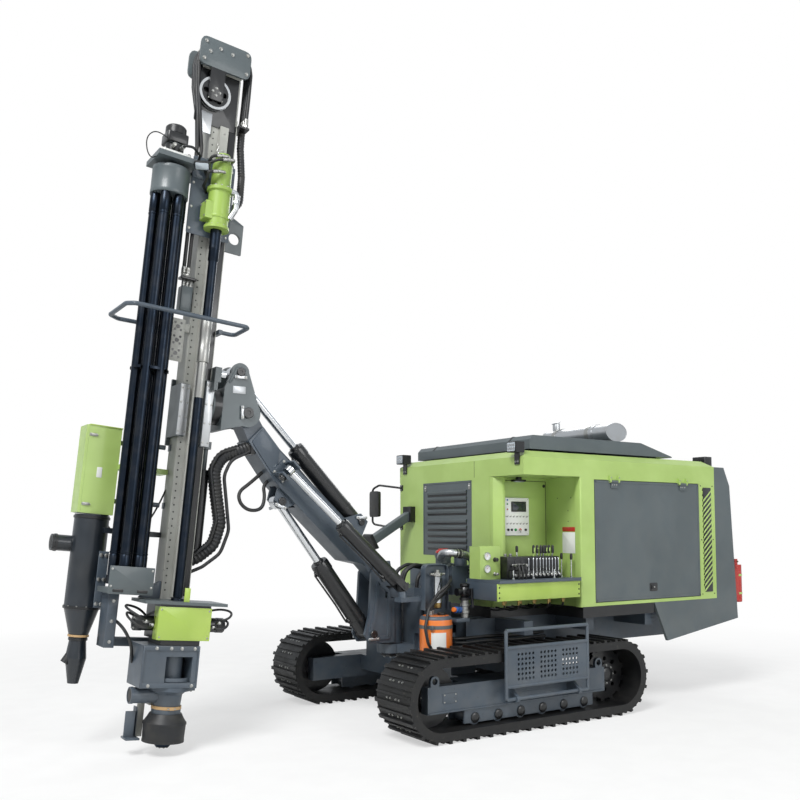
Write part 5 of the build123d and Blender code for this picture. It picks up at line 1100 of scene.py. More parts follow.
boom_tip = put(BOOM, (1.894, 0.0, 0.0))
lift_pin = put(BOOM, (1.145, 0.0, -0.266))
tilt_pin = put(BOOM, (0.488, 0.0, 0.150))
pins = [
    ("boom_foot_pin", (0.625, 1.280), 0.040, 0.132, "swing_bracket", math.radians(215)),
    ("lift_base_pin", (0.742, 0.744), 0.035, 0.132, "swing_bracket", math.radians(270)),
    ("boom_tip_pin", (boom_tip[0], boom_tip[2]), 0.045, 0.143, "head_bracket", math.radians(180)),
    ("tilt_eye_pin", (2.028, 2.953), 0.035, 0.131, "head_bracket", math.radians(270)),
    ("lift_eye_pin", (lift_pin[0], lift_pin[2]), 0.035, 0.085, "boom", math.radians(250)),
    ("tilt_base_pin", (tilt_pin[0], tilt_pin[2]), 0.030, 0.117, "boom", math.radians(90)),
]
for name, place, radius, reach, body, turn in pins:
    kept_pin(name, place, radius, reach, body, turn)
tip_plate = rounded([(1.33, -0.195), (1.56, -0.16), (1.7, -0.135), (1.712, 0.014), (1.48, 0.0)], 0.03, 4)
for side, facing in (("left", 1.0), ("right", -1.0)):
    outline = tip_plate * (-facing, 1.0)
    piece(f"boom_tip_plate_{side}", slab(outline, -0.002, 0.01, boom_side(0.125 * facing, facing), 0.003),
        BLUE_GREY, "boom")
    for k, (along, above) in enumerate([(1.185, -0.055), (1.060, -0.060)]):
        recess = rim(np.array([(0.042, 0.022)]) * ring(1.0, 32) + (-facing * along, above), 0.008, -0.001,
            0.004, boom_side(0.125 * facing, facing))
        # A black disc within each recess's rim: painted shade of its depth
        hollow = slab(np.array([(0.034, 0.016)]) * ring(1.0, 32) + (-facing * along, above), 0.0, 0.0015,
            boom_side(0.125 * facing, facing), 0.0005)
        piece(f"boom_recess_{side}_{k + 1}", recess, BLUE_GREY, "boom")
        piece(f"boom_recess_{side}_{k + 1}_floor", hollow, BLACK, "boom")
    for edge, ends in (("top", [(0.42, 0.060), (1.48, 0.010)]), ("low", [(0.34, -0.180), (1.32, -0.215)])):
        inward = 0.004 if edge == "top" else -0.004
        seam = put(BOOM, [(along, facing * 0.1265, above - inward) for along, above in ends])
        piece(f"boom_seam_{edge}_{side}", carried(ring(0.0035, 8), evenly(seam, 0.05)[0]), BLUE_GREY,
            "boom")
clevis_bolts = [(along, -0.100 + above) for along in (1.280, 1.386) for above in (-0.062, 0.062)]
piece("swing_clevis_bolts", dotted(bolt(0.012), boom_side(0.137), [(-a, b) for a, b in clevis_bolts]), ZINC,
    "boom")
for side, above, way in (("upper", -0.024, 1.0), ("lower", -0.176, -1.0)):
    end = stand((1.333, 0.245, above), (0.0, 0.0, way), up=(1.0, 0.0, 0.0), outer=BOOM)
    piece(f"swing_clevis_pin_{side}", copies(pin_end(0.032, 0.024, 0.004), [end]), BLACK, "boom")

# Head bracket: blank plate and ribs on its cheeks, nut and ring of the mast's swing bearing
for side, facing in (("left", 1.0), ("right", -1.0)):
    cheek = machine_side(0.131 * facing, facing)
    piece(f"head_blank_plate_{side}", brick(sorted((-facing * 2.095, -facing * 1.985)), (2.775, 2.835),
        (0.0, 0.002), cheek, 0.006, 0.0006), SILVER, "head_bracket")
    rib = rounded([(-facing * 1.985, 2.985), (-facing * 2.065, 2.995), (-facing * 2.135, 2.86),
        (-facing * 2.115, 2.855), (-facing * 2.05, 2.965), (-facing * 1.985, 2.962)], 0.008, 3)
    piece(f"head_rib_{side}", slab(rib, -0.001, 0.006, cheek, 0.002), GREY,
        "head_bracket", "blue_grey_paint")
swivel = stand((-0.254, 0.0, 2.691), (-1.0, 0.0, 0.0), outer=MAST)
piece("swivel_nut", [slab(ring(0.072, 8), 0.012, 0.04, swivel, 0.004),
    turned([(0.084, 0.01), (0.084, 0.014)], swivel, 32)], BLACK, "feed_cradle")
piece("swivel_ring", rim(ring(0.1425, 48), 0.02, 0.004, 0.066, stand((-0.2215, 0.0, 2.691), (1.0, 0.0, 0.0),
    outer=MAST)), BLACK, "feed_cradle")

# Cylinders: gland, wiper, base ring, ports and the pipe between them
cylinder_table = [
    ("lift", (0.742, 0.0, 0.744), put(BOOM, (1.145, 0.0, -0.266)), 0.8, 0.075, 0.035),
    ("tilt", put(BOOM, (0.488, 0.0, 0.15)), (2.028, 0.0, 2.953), 0.87, 0.072, 0.035),
    ("swing", (0.589, 0.35, 1.162), put(BOOM, (1.333, 0.245, -0.1)), 0.8, 0.06, 0.03),
    ("feed_swing", put(MAST, (-0.19, -0.42, 2.945)), put(MAST, (-0.19, 0.14, 2.945)), 0.35, 0.036, 0.018),
]
for name, base, eye, length, radius, rod in cylinder_table:
    up = FRONT if name == "feed_swing" else LEFT
    line = stand(base, np.asarray(eye) - np.asarray(base), up)
    collar = 0.006 if radius > 0.05 else 0.001
    gland = [(radius - 0.004, length - 1.3 * radius), (radius + collar, length - 1.25 * radius),
        (radius + collar, length - 0.25 * radius), (radius, length + 0.001), (rod + 0.012, length + 0.003),
        (rod + 0.008, length + 0.015), (rod + 0.0015, length + 0.016),
        (rod + 0.0015, length - 1.3 * radius)]
    piece(f"{name}_gland", turned(gland, line, 36, closed=True), BLACK, f"{name}_barrel")
    piece(f"{name}_wiper", turned([(rod + 0.0012, length + 0.01), (rod + 0.007, length + 0.012),
        (rod + 0.006, length + 0.021), (rod + 0.0012, length + 0.023)], line, 32, closed=True),
        RUBBER, f"{name}_barrel")
    low = 0.16 if name != "feed_swing" else 0.07
    piece(f"{name}_base_ring", rim(ring(radius + 0.004, 36), 0.006, low, low + 0.02, line),
        BLACK, f"{name}_barrel")
    port = 0.28 * radius
    piece(f"{name}_ports",
        [turned([(port + 0.004, radius - 0.004), (port + 0.004, radius + 0.01), (port, radius + 0.013)],
        stand((0.0, 0.0, z), (1.0, 0.0, 0.0), outer=line), 16)
        for z in (low + 0.045, length - 0.9 * radius)], BLACK, f"{name}_barrel")
    pipe = [(radius + 0.008, 0.0, low + 0.045), (radius + 0.022, 0.0, low + 0.046),
        (radius + 0.022, 0.0, low + 0.1), (radius + 0.016, 0.0, 0.5 * length),
        (radius + 0.022, 0.0, length - 1.5 * radius), (radius + 0.022, 0.0, length - 0.9 * radius),
        (radius + 0.008, 0.0, length - 0.9 * radius)]
    piece(f"{name}_pipe", tube(pipe, 0.3 * port + 0.002, 0.02, 10, line), BLACK, f"{name}_barrel")

# Hose bundle: a corrugated sleeve from under the boom's tip to the mast's back, and its thin hoses
bundle = [(1.86, 0.055, 2.385), (1.93, 0.058, 2.335), (2.01, 0.06, 2.31), (2.152, 0.06, 2.262),
    (2.222, 0.06, 2.14), (2.199, 0.06, 1.945), (2.165, 0.06, 1.719), (2.215, 0.05, 1.545),
    (2.33, 0.02, 1.45), (2.4, 0.0, 1.42)]
front_route = [(x + 0.045, y + 0.045, z + 0.02) for x, y, z in bundle[2:]]
rear_route = [(x - 0.075 * math.sin(math.pi * k / 9), y + 0.035, z - 0.01 * k)
    for k, (x, y, z) in enumerate(bundle)]
bundle_shapes = [
    ("bundle_sleeve", sleeve(bundle, 0.052, 0.030, 0.16, 16)),
    ("bundle_hose_front", tube(front_route, 0.013, 0.14)),
    ("bundle_hose_rear", tube(rear_route, 0.014, 0.16)),
]
for name, shape in bundle_shapes:
    made = piece(name, shape, RUBBER, "head_bracket")
    made.parent = None
    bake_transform(made)
piece("bundle_clamp", brick((1.88, 1.925), (-0.095, 0.116), (2.285, 2.42), radius=0.01, edge=0.004),
    BLACK, "head_bracket")
loop = [(1.33, 0.0, -0.2), (1.345, 0.0, -0.262), (1.262, 0.03, -0.335), (1.215, 0.05, -0.435),
    (1.29, 0.05, -0.527), (1.388, 0.03, -0.532), (1.452, 0.0, -0.465), (1.43, 0.0, -0.34),
    (1.42, 0.0, -0.19)]
hose("boom_hose_loop", put(BOOM, loop), 0.030, "boom")

# Swing bracket: edge plates on its cheeks, caps with bolts over the swing pin
for side, facing in (("left", 1.0), ("right", -1.0)):
    cheek = machine_side(0.120 * facing, facing)
    seam = rounded([(-facing * 0.56, 0.69), (-facing * 0.77, 0.69), (-facing * 0.79, 0.76),
        (-facing * 0.745, 0.885), (-facing * 0.7, 1.23), (-facing * 0.56, 1.12)], 0.03, 4)
    piece(f"swing_cheek_plate_{side}", rim(seam, 0.035, -0.001, 0.008, cheek, 0.002),
        BLUE_GREY, "swing_bracket")
for name, z, way in (("upper", 1.150, 1.0), ("lower", 0.540, -1.0)):
    end = stand((0.485, 0.0, z), (0.0, 0.0, way), up=(1.0, 0.0, 0.0))
    piece(f"swing_pin_cap_{name}", [turned([(0.085, -0.008 * (way > 0)), (0.085, 0.01), (0.078, 0.014)],
        end, 32)], BLACK)
    piece(f"swing_pin_cap_{name}_bolts", dotted(bolt(0.012), end, circle(0.06, 30, 60, 0.014)), ZINC)

# Lever console: lime front plate, dark valve bank with spools and links, levers with grips
console_front = machine_side(0.980)
piece("console_front_plate", brick((-0.04, 0.93), (1.055, 1.203), (-0.002, 0.012), console_front, 0.006,
    0.003), LIME_STRONG)
piece("console_front_screws", dotted(screw(0.009), machine_side(0.992), [(x, z) for x in (-0.022, 0.912)
    for z in (1.085, 1.128, 1.172)]), BLACK)
piece("console_skins", [brick((-0.927, 0.037), (0.552, 1.012), (1.2035, 1.2275), radius=0.006),
    brick((0.0335, 0.0375), (0.552, 0.981), (1.058, 1.205)), brick((-0.9275, -0.9235), (0.552, 0.981),
    (1.058, 1.205)), brick((-0.925, 0.035), (0.552, 0.981), (1.0565, 1.0605))], BLUE_GREY)
piece("console_tray_edge", [brick((-0.927, 0.037), (1.004, 1.012), (1.2275, 1.234)),
    brick((0.031, 0.037), (0.56, 1.012), (1.2275, 1.234))], BLUE_GREY)
piece("valve_bank", [brick((x, x + 0.07), (0.838, 0.85), (1.3, 1.398), radius=0.004, edge=0.003)
    for x in np.arange(-0.8, -0.23, 0.0755)] + [brick((-0.8125, -0.1975), (0.627, 0.8425), (1.2275, 1.4225),
    radius=0.004), brick((-0.812, -0.198), (0.64, 0.83), (1.385, 1.424), radius=0.008, edge=0.004),
    brick((-0.806, -0.204), (0.838, 0.872), (1.235, 1.3), radius=0.008, edge=0.004)], BLACK)
lever_places = [-0.556 - 0.037 * k for k in range(7)]
link = joined([brick((-0.004, 0.004), (-0.003, 0.003), (0.0, 0.12), edge=0.001),
    turned([(0.006, 0.118), (0.007, 0.121), (0.007, 0.133), (0.005, 0.136)], steps=14),
    turned([(0.009, 0.0), (0.009, 0.014), (0.006, 0.017)], steps=14)])
piece("spool_links", copies(link, [upright(x, 0.868, 1.275) for x in [-0.42, -0.475, -0.515]
    + lever_places]), CHROME)
spool = machine_side(0.0)
piece("spool_caps", copies(turned([(0.014, 0.0), (0.014, 0.02), (0.011, 0.024), (0.006, 0.024)], steps=18),
    [(np.array([x, 0.868, 1.262]), spool[1]) for x in np.arange(-0.78, -0.22, 0.0475)]), ZINC)
grip = turned([(0.0085, 1.448), (0.0125, 1.454), (0.0135, 1.48), (0.0125, 1.51), (0.0085, 1.522),
    (0.003, 1.525)], steps=16)
sway = [(x, 0.792 + 0.008 * math.sin(37.0 * x)) for x in lever_places]
piece("lever_grips", dotted(grip, GROUND, sway), NYLON)
piece("lever_rods", [tube([(x, 0.78, 1.4), (x, y, 1.46)], 0.0072) for x, y in sway], CHROME)
long_levers = [(-0.377, 0.76, 1.4, 1.52), (-0.884, 0.8, 1.225, 1.45), (-0.965 + 0.055, 0.9, 1.225, 1.447),
    (-0.215, 0.9, 1.225, 1.33), (-0.42, 0.93, 1.225, 1.325), (-0.66, 0.94, 1.225, 1.33)]
for k, (x, y, low, high) in enumerate(long_levers):
    lever_bits = [tube([(x, y, low), (x + 0.004, y + 0.004, high - 0.02)], 0.0062)]
    lever_bits.append(turned([(0.014, low + 0.002), (0.014, low + 0.012), (0.009, low + 0.018)],
        upright(x, y), 16))
    piece(f"long_lever_{k + 1}", lever_bits, CHROME)
    if k < 3:
        knob_shape = turned([(0.008, high - 0.058), (0.0125, high - 0.052), (0.0135, high - 0.025),
            (0.012, high - 0.006), (0.004, high)], upright(x + 0.004, y + 0.004), 16)
        piece(f"long_lever_{k + 1}_grip", knob_shape, NYLON)
piece("valve_fittings", [fitting((x, 0.85, 1.35), (x, 0.905, 1.35), 0.011)
    for x in (-0.25, -0.29, -0.33, -0.37)] + [fitting((x, 0.76, 1.4), (x, 0.76, 1.45), 0.011)
    for x in (-0.24, -0.3)], ZINC)
for k, (x, rise) in enumerate([(-0.250, 0.040), (-0.290, 0.055), (-0.330, 0.035)]):
    piece(f"valve_bank_hose_{k + 1}",
        tube([(x, 0.903, 1.35), (x, 0.93, 1.35), (x + 0.01, 0.955, 1.35 - rise), (x + 0.006, 0.94, 1.22)],
        0.01, 0.02), RUBBER)
under = [(-0.06 - 0.058 * k, 0.940 - 0.05 * (k % 3)) for k in range(15)]
piece("console_under_fittings", [fitting((x, y, 1.06), (x, y, 1.02 - 0.01 * (k % 2)), 0.007)
    for k, (x, y) in enumerate(under)], BRASS)
for k, (x, y) in enumerate(under[1::2]):
    bend = [(x, y, 1.012), (x - 0.01, y - 0.02, 0.975), (x - 0.03, y - 0.15, 0.955),
        (x - 0.03, y - 0.34, 0.965)]
    piece(f"console_under_hose_{k + 1}", tube(bend, 0.008, 0.05), RUBBER)

# Gauge box: two dials with chrome rims and ticks, a knob and a shut-off fitting
gauge_face = machine_side(0.750)
piece("gauge_box_skin", [brick((-0.0365, 0.1915), (1.227, 1.517), (-0.002, 0.0015), gauge_face, 0.004),
    brick((-0.192, 0.037), (0.598, 0.7515), (1.5145, 1.5185), radius=0.004)], LIME)
for name, z in (("upper", 1.432), ("lower", 1.322)):
    dial = stand((-0.035, 0.7515, z), LEFT)
    piece(f"gauge_{name}_case", [rim(ring(0.036, 32), 0.005, 0.0, 0.016, dial, 0.002)], CHROME)
    piece(f"gauge_{name}_dial", turned([(0.0325, 0.004), (0.0325, 0.0065), (0.032, 0.007)], dial, 32),
        WHITE)
    tick = brick((0.0245, 0.03), (-0.0008, 0.0008), (0.007, 0.0074), edge=0.0001)
    turns = [np.array([[math.cos(a), math.sin(a), 0.0], [-math.sin(a), math.cos(a), 0.0], [0.0, 0.0, 1.0]])
        for a in np.radians(np.linspace(-45, 225, 11))]
    piece(f"gauge_{name}_ticks", copies(tick, [(dial[0], turn @ dial[1]) for turn in turns]), BLACK,
        slot="")
    piece(f"gauge_{name}_hand",
        slab(np.array([(-0.004, -0.0015), (0.024, -0.0004), (0.024, 0.0004), (-0.004, 0.0015)]), 0.0078,
        0.0084, (dial[0], np.array([[0.7, 0.714, 0], [-0.714, 0.7, 0], [0, 0, 1.0]]) @ dial[1]), 0.0001),
        RED)
knob_face = stand((-0.128, 0.7515, 1.400), LEFT)
piece("gauge_box_knob", turned([(0.02, 0.0), (0.02, 0.004), (0.012, 0.006), (0.012, 0.018), (0.017, 0.02),
    (0.017, 0.034), (0.014, 0.037)], knob_face, 20), NYLON)
tap = stand((-0.125, 0.7515, 1.275), LEFT)
piece("gauge_box_tap", [turned([(0.016, 0.0), (0.016, 0.006), (0.009, 0.008), (0.009, 0.028), (0.013, 0.03),
    (0.013, 0.044), (0.01, 0.046)], tap, 18), brick((-0.03, 0.012), (-0.005, 0.005), (0.046, 0.052), tap,
    0.004)], ZINC)

# Orange tank on the track's shelf: painted shell, strap, blank label, cap, hoses
TANK = upright(0.376, 0.560)
piece("oil_tank_shell", turned([(0.1395, 0.5985), (0.1415, 0.601), (0.1415, 0.888), (0.136, 0.908),
    (0.122, 0.922), (0.105, 0.9275), (0.02, 0.929)], TANK, 56), ORANGE)
piece("oil_tank_strap", [rim(ring(0.1445, 56), 0.0035, 0.818, 0.848, TANK, 0.0005),
    brick((0.1, 0.128), (0.085, 0.118), (0.815, 0.851), TANK, 0.004)], GREY)
label_turn = np.radians(np.linspace(38.0, 92.0, 16))
label_arc = np.column_stack([np.cos(label_turn), np.sin(label_turn)])
label_line = np.concatenate([0.1425 * label_arc, 0.1405 * label_arc[::-1]])
label_points, label_faces = net([np.column_stack([label_line, np.full(32, z)]) for z in (0.655, 0.790)])
piece("oil_tank_label", (put(TANK, label_points), label_faces), WHITE)
piece("oil_tank_cap",
    [turned([(0.034, 0.925), (0.036, 0.93), (0.036, 0.948), (0.031, 0.952), (0.012, 0.953)],
    upright(0.345, 0.6), 24)], BLACK)
piece("oil_tank_fittings", [fitting((0.42, 0.545, 0.922), (0.42, 0.545, 0.965), 0.014),
    fitting((0.37, 0.5, 0.922), (0.37, 0.5, 0.965), 0.014)], ZINC)
tank_routes = [
    [(0.42, 0.545, 0.965), (0.42, 0.547, 1.02), (0.36, 0.58, 1.12), (0.28, 0.6, 1.18), (0.2, 0.54, 1.22),
         (0.12, 0.43, 1.24)],
    [(0.37, 0.5, 0.965), (0.37, 0.502, 1.01), (0.31, 0.52, 1.08), (0.22, 0.5, 1.14), (0.13, 0.43, 1.16)],
    [(0.47, 0.64, 0.64), (0.525, 0.655, 0.7), (0.545, 0.64, 0.83), (0.48, 0.6, 0.99), (0.36, 0.56, 1.06),
         (0.22, 0.47, 1.1), (0.14, 0.425, 1.11)],
]
for k, route in enumerate(tank_routes):
    piece(f"tank_hose_{k + 1}", tube(route, 0.0135, 0.09), RUBBER)

# Deck: filler cone with its red cap, silver air pipe with clamps, air, ball and solenoid valves
FILLER = upright(0.090, 0.280)
piece("filler_cone", turned([(0.1, 1.329), (0.104, 1.334), (0.104, 1.35), (0.07, 1.36), (0.07, 1.4),
    (0.082, 1.436), (0.082, 1.446), (0.062, 1.45)], FILLER, 36), GREY)
piece("filler_cap", turned([(0.058, 1.449), (0.07, 1.452), (0.07, 1.468), (0.06, 1.478), (0.028, 1.482)],
    FILLER, 32), RED)
piece("filler_cap_grips", [brick((-0.052, 0.052), (-0.006, 0.006), (1.478, 1.492), FILLER, 0.005)], RED)
piece("filler_flange_bolts", dotted(bolt(0.01), FILLER, circle(0.09, 0, 45, 1.35)), ZINC)
air_pipe = [(0.14, 0.31, 1.415), (0.19, 0.4, 1.455), (0.15, 0.48, 1.46), (0.02, 0.5, 1.44),
    (-0.077, 0.5, 1.405), (-0.077, 0.5, 1.205), (-0.077, 0.53, 1.14)]
piece("air_pipe", tube(air_pipe, 0.034, 0.07, 20), SILVER)
piece("air_pipe_sleeves", [carried(ring(0.04, 24), evenly(ends, 0.01)[0])
    for ends in (((0.105, 0.487, 1.453), (0.045, 0.496, 1.444)),
    ((-0.077, 0.5, 1.33), (-0.077, 0.5, 1.27)))], RUBBER)
clamp_places = [
    ((0.098, 0.488, 1.452), (0.088, 0.4895, 1.4505)),
    ((0.062, 0.4935, 1.4465), (0.052, 0.495, 1.445)),
    ((-0.077, 0.500, 1.322), (-0.077, 0.500, 1.312)),
    ((-0.077, 0.500, 1.290), (-0.077, 0.500, 1.280)),
]
piece("air_pipe_clamps", [carried(ring(0.0415, 24), ends) for ends in clamp_places], ZINC)
VALVE = upright(0.060, 0.560)
piece("air_valve_body",
    [turned([(0.04, 1.04), (0.048, 1.045), (0.048, 1.062), (0.036, 1.07), (0.052, 1.095), (0.052, 1.135),
    (0.036, 1.16), (0.046, 1.168), (0.046, 1.186), (0.04, 1.19)], VALVE, 32),
    tube([(0.06, 0.56, 1.115), (0.06, 0.65, 1.115)], 0.03, 0.01, 20),
    tube([(0.03, 0.56, 1.115), (0.15, 0.56, 1.115)], 0.034, 0.01, 20)], BLACK)
piece("air_valve_coupling", turned([(0.03, 0.885), (0.034, 0.89), (0.034, 0.925), (0.041, 0.93),
    (0.041, 0.955), (0.034, 0.96), (0.034, 0.985), (0.041, 0.99), (0.041, 1.015), (0.034, 1.02),
    (0.034, 1.045)], VALVE, 32), ZINC)
piece("air_valve_handle", [brick((0.052, 0.068), (0.65, 0.668), (1.02, 1.15), radius=0.004),
    brick((0.05, 0.07), (0.662, 0.68), (0.985, 1.06), radius=0.006, edge=0.004)], BLACK)
ball_places = [(-0.115, 0.560, 1.270), (-0.150, 0.585, 1.300), (0.005, 0.610, 1.290)]
ball = turned([(0.022, -0.022), (0.026, -0.010), (0.026, 0.010), (0.022, 0.022)], steps=18)
piece("ball_valves", [tube([(x, y, z - 0.03), (x, y, z + 0.03)], 0.015, 0.01) for x, y, z in ball_places]
    + [dotted(ball, GROUND, ball_places)], ZINC)
solenoid = stand((0.145, 0.560, 0.960), (1.0, 0.35, 0.10))
piece("solenoid_valve", [turned([(0.026, -0.08), (0.028, -0.076), (0.028, 0.03), (0.022, 0.036)],
    solenoid, 24)], BLUE)
piece("solenoid_cap", turned([(0.02, 0.034), (0.022, 0.038), (0.022, 0.058), (0.016, 0.064)], solenoid, 24),
    ORANGE)
piece("deck_pedestal_box", [brick((0.06, 0.21), (0.5, 0.64), (0.858, 0.888), radius=0.01, edge=0.004)],
    BLUE_GREY)

# Lubricator: bowl, bright column and head in a bent plate frame
OILER = upright(0.292, 0.465)
frame_line = rounded([(0.162, 0.42, 0.96), (0.162, 0.42, 1.355), (0.413, 0.42, 1.355), (0.413, 0.42, 0.96)],
    0.05, 6, closed=False)
piece("oiler_frame", carried(oblong((-0.035, 0.035), (-0.004, 0.004), 0.003), evenly(frame_line, 0.02)[0],
    side=(0.0, 1.0, 0.0)), BLUE_GREY)
piece("oiler_back", brick((0.166, 0.409), (0.414, 0.42), (0.965, 1.35)), BLUE_GREY)
piece("oiler_column", turned([(0.03, 1.02), (0.04, 1.024), (0.04, 1.25), (0.032, 1.256)], OILER, 28),
    CHROME)
piece("oiler_head", [turned([(0.036, 1.254), (0.044, 1.258), (0.044, 1.285), (0.02, 1.29), (0.02, 1.31)],
    OILER, 24), tube([(0.215, 0.465, 1.272), (0.37, 0.465, 1.272)], 0.013, 0.01)], ZINC)
piece("oiler_bowl", turned([(0.026, 0.975), (0.036, 0.982), (0.038, 1.0), (0.038, 1.022), (0.03, 1.024)],
    OILER, 28), BRASS)

# Deck pedestal: its bolts, the deck box's lid with its bolts, a hatch on the front
for y in (-0.24, 0.24):
    side = "left" if y > 0 else "right"
    piece(f"pedestal_bolts_{side}", copies(bolt(0.02), [upright(x, y, 1.14) for x in (0.135, 0.215, 0.3)]),
        ZINC)
piece("deck_box_lid", [brick((-0.25, 0.09), (-0.245, 0.415), (1.329, 1.336), radius=0.02)], BLUE_GREY)
piece("deck_box_bolts", copies(bolt(0.01), [upright(x, y, 1.336) for x in (-0.225, 0.065)
    for y in (-0.22, 0.0, 0.21, 0.39)]), ZINC)
piece("deck_front_hatch", [brick((0.11, 0.32), (0.4145, 0.4185), (0.76, 1.0), radius=0.004)], BLUE_GREY)

# Hoses from the deck to the boom's foot and along the chassis
deck_routes = [
    [(0.085, 0.02, 1.29), (0.15, 0.02, 1.31), (0.26, 0.03, 1.33), (0.36, 0.04, 1.29), (0.42, 0.04, 1.16)],
    [(0.085, 0.08, 1.285), (0.15, 0.08, 1.32), (0.27, 0.09, 1.345), (0.375, 0.09, 1.29),
         (0.415, 0.085, 1.16)],
    [(0.085, -0.05, 1.29), (0.16, -0.05, 1.33), (0.27, -0.05, 1.34), (0.37, -0.06, 1.29),
         (0.41, -0.06, 1.16)],
    [(0.085, 0.15, 1.24), (0.15, 0.155, 1.27), (0.24, 0.165, 1.28), (0.3, 0.17, 1.23), (0.31, 0.17, 1.13)],
]
for k, route in enumerate(deck_routes):
    piece(f"deck_hose_{k + 1}", tube(route, 0.017, 0.09), RUBBER)
for k, (y, z) in enumerate([(0.520, 0.700), (0.545, 0.665), (0.520, 0.630)]):
    route = [(-0.9, y, z), (-0.55, y + 0.012, z - 0.006), (-0.2, y, z + 0.004), (0.05, y, z),
        (0.13, 0.5, z), (0.18, 0.405, z)]
    piece(f"chassis_hose_{k + 1}", tube(route, 0.015, 0.1), RUBBER)

# Roof: silencer's rims, straps, pipe and rain cap, lid's ribs, box at the rear; extinguishers
SILENCER = stand((-1.955, 0.0, 2.662), (0.0, 1.0, 0.0))
oval = ring(1.0, 48) * (0.153, 0.098)
for name, y in (("left", 0.505), ("right", -0.440)):
    piece(f"silencer_rim_{name}", rim(oval, 0.006, y - 0.007, y + 0.007, SILENCER), SILVER)
for name, y in (("left", -0.240), ("right", 0.250)):
    strap = rim(ring(1.0, 48) * (0.1595, 0.1045), 0.005, y - 0.050, y, SILENCER, 0.0005)
    piece(f"silencer_strap_{name}", strap, ZINC)
PIPE = upright(-1.915, -0.330)
piece("silencer_pipe", turned([(0.0385, 2.73), (0.0395, 2.734), (0.0395, 2.826), (0.0385, 2.83)], PIPE, 28),
    SILVER)
cap_hinge = stand((-1.915, -0.330, 2.836), (0.30, 0.0, 0.95))
piece("silencer_rain_cap", [turned([(0.046, 0.0), (0.048, 0.002), (0.048, 0.006), (0.044, 0.009)],
    cap_hinge, 28), brick((-0.062, -0.04), (-0.012, 0.012), (-0.01, 0.006), cap_hinge, 0.003)], SILVER)
lid_seams = [[(-0.436, y, 2.478), (-0.478, y, 2.519), (-1.895, y, 2.519), (-2.352, y, 2.404)]
    for y in (-0.6, 0.6)]
for k, seam in enumerate(lid_seams):
    piece(f"roof_lid_rib_{k + 1}", carried(oblong((-0.012, 0.012), (-0.004, 0.004), 0.003),
        evenly(seam, 0.03)[0], side=(0.0, 1.0, 0.0)), BLACK)
piece("rear_top_box", brick((-3.02, -2.9), (0.7, 0.86), (2.3, 2.43), radius=0.012, edge=0.005), BLACK)
grip_section = oblong((-0.009, 0.009), (-0.0025, 0.0025), 0.002)
grip_bars = [
    [(-0.010, 1.338), (0.030, 1.345), (0.048, 1.352)],
    [(-0.010, 1.322), (0.030, 1.322), (0.048, 1.316)],
]
for side, y in (("outer", 0.885), ("inner", 0.715)):
    BOTTLE = upright(-3.325, y)
    piece(f"extinguisher_{side}_shell", turned([(0.06, 0.897), (0.066, 0.902), (0.066, 1.225),
        (0.06, 1.262), (0.045, 1.285), (0.029, 1.294)], BOTTLE, 32), RED)
    piece(f"extinguisher_{side}_straps", [rim(ring(0.0695, 36), 0.004, z, z + 0.022, BOTTLE, 0.0005)
        for z in (0.98, 1.17)], LIME)
    piece(f"extinguisher_{side}_valve",
        [turned([(0.016, 1.29), (0.018, 1.294), (0.018, 1.335), (0.013, 1.34)], BOTTLE, 18),
        tube([(-3.325, y, 1.325), (-3.325, y + 0.04, 1.322)], 0.009, 0.01)], BRASS)
    piece(f"extinguisher_{side}_handle", [carried(grip_section, [(-3.325 + dx, y, z) for dx, z in bar],
        side=(0, 1, 0)) for bar in grip_bars], BLACK)

# Side vents: a dark sheet inside as painted shade of the interior, dark mesh over the opening, lime bars
# slanted across it
for side, hand in (("left", 1.0), ("right", -1.0)):
    wall = machine_side(BODY_SIDE * hand, hand)
    run = sorted(-hand * x for x in (-2.600, -2.872))
    # Dark sheet behind the opening: painted shade of the body's interior
    piece(f"{side}_vent_back", brick(run, (0.985, 2.135), (-0.075, -0.07), wall, 0.01), BLACK)
    run = sorted(-hand * x for x in (-2.700, -2.826))
    piece(f"{side}_vent_mesh", brick(run, (1.03, 2.092), (0.0003, 0.0016), wall, 0.006, 0.0004), BLACK)
    bars = []
    for z in np.arange(1.051, 1.988, 0.0537):
        corners = [(-2.700, z), (-2.826, z + 0.105), (-2.826, z + 0.084), (-2.700, z - 0.021)]
        bars.append(slab(np.array([(-hand * x, height) for x, height in corners]), 0.001,
            0.0032, wall, 0.0005))
    piece(f"{side}_vent_bars", bars, LIME)

# Mast rest: the strut's painted skin and the rubber pad at its end
tilt = math.radians(-30.0)
rest_way = np.array([math.cos(tilt), 0.0, math.sin(tilt)])
rest_foot = np.array([-0.275, -0.770, 1.830])
piece("mast_rest_skin", carried(oblong((-0.0425, 0.0425), (-0.0425, 0.0425), 0.006),
    put(stand(rest_foot, rest_way), [(0, 0, 0.02), (0, 0, 0.2), (0, 0, 0.4), (0, 0, 0.555)])), GREY)
rest_pad = stand(rest_foot + 0.580 * rest_way, rest_way)
piece("mast_rest_pad", brick((-0.078, 0.078), (-0.078, 0.078), (0.0, 0.022), rest_pad, 0.012, 0.005),
    RUBBER)

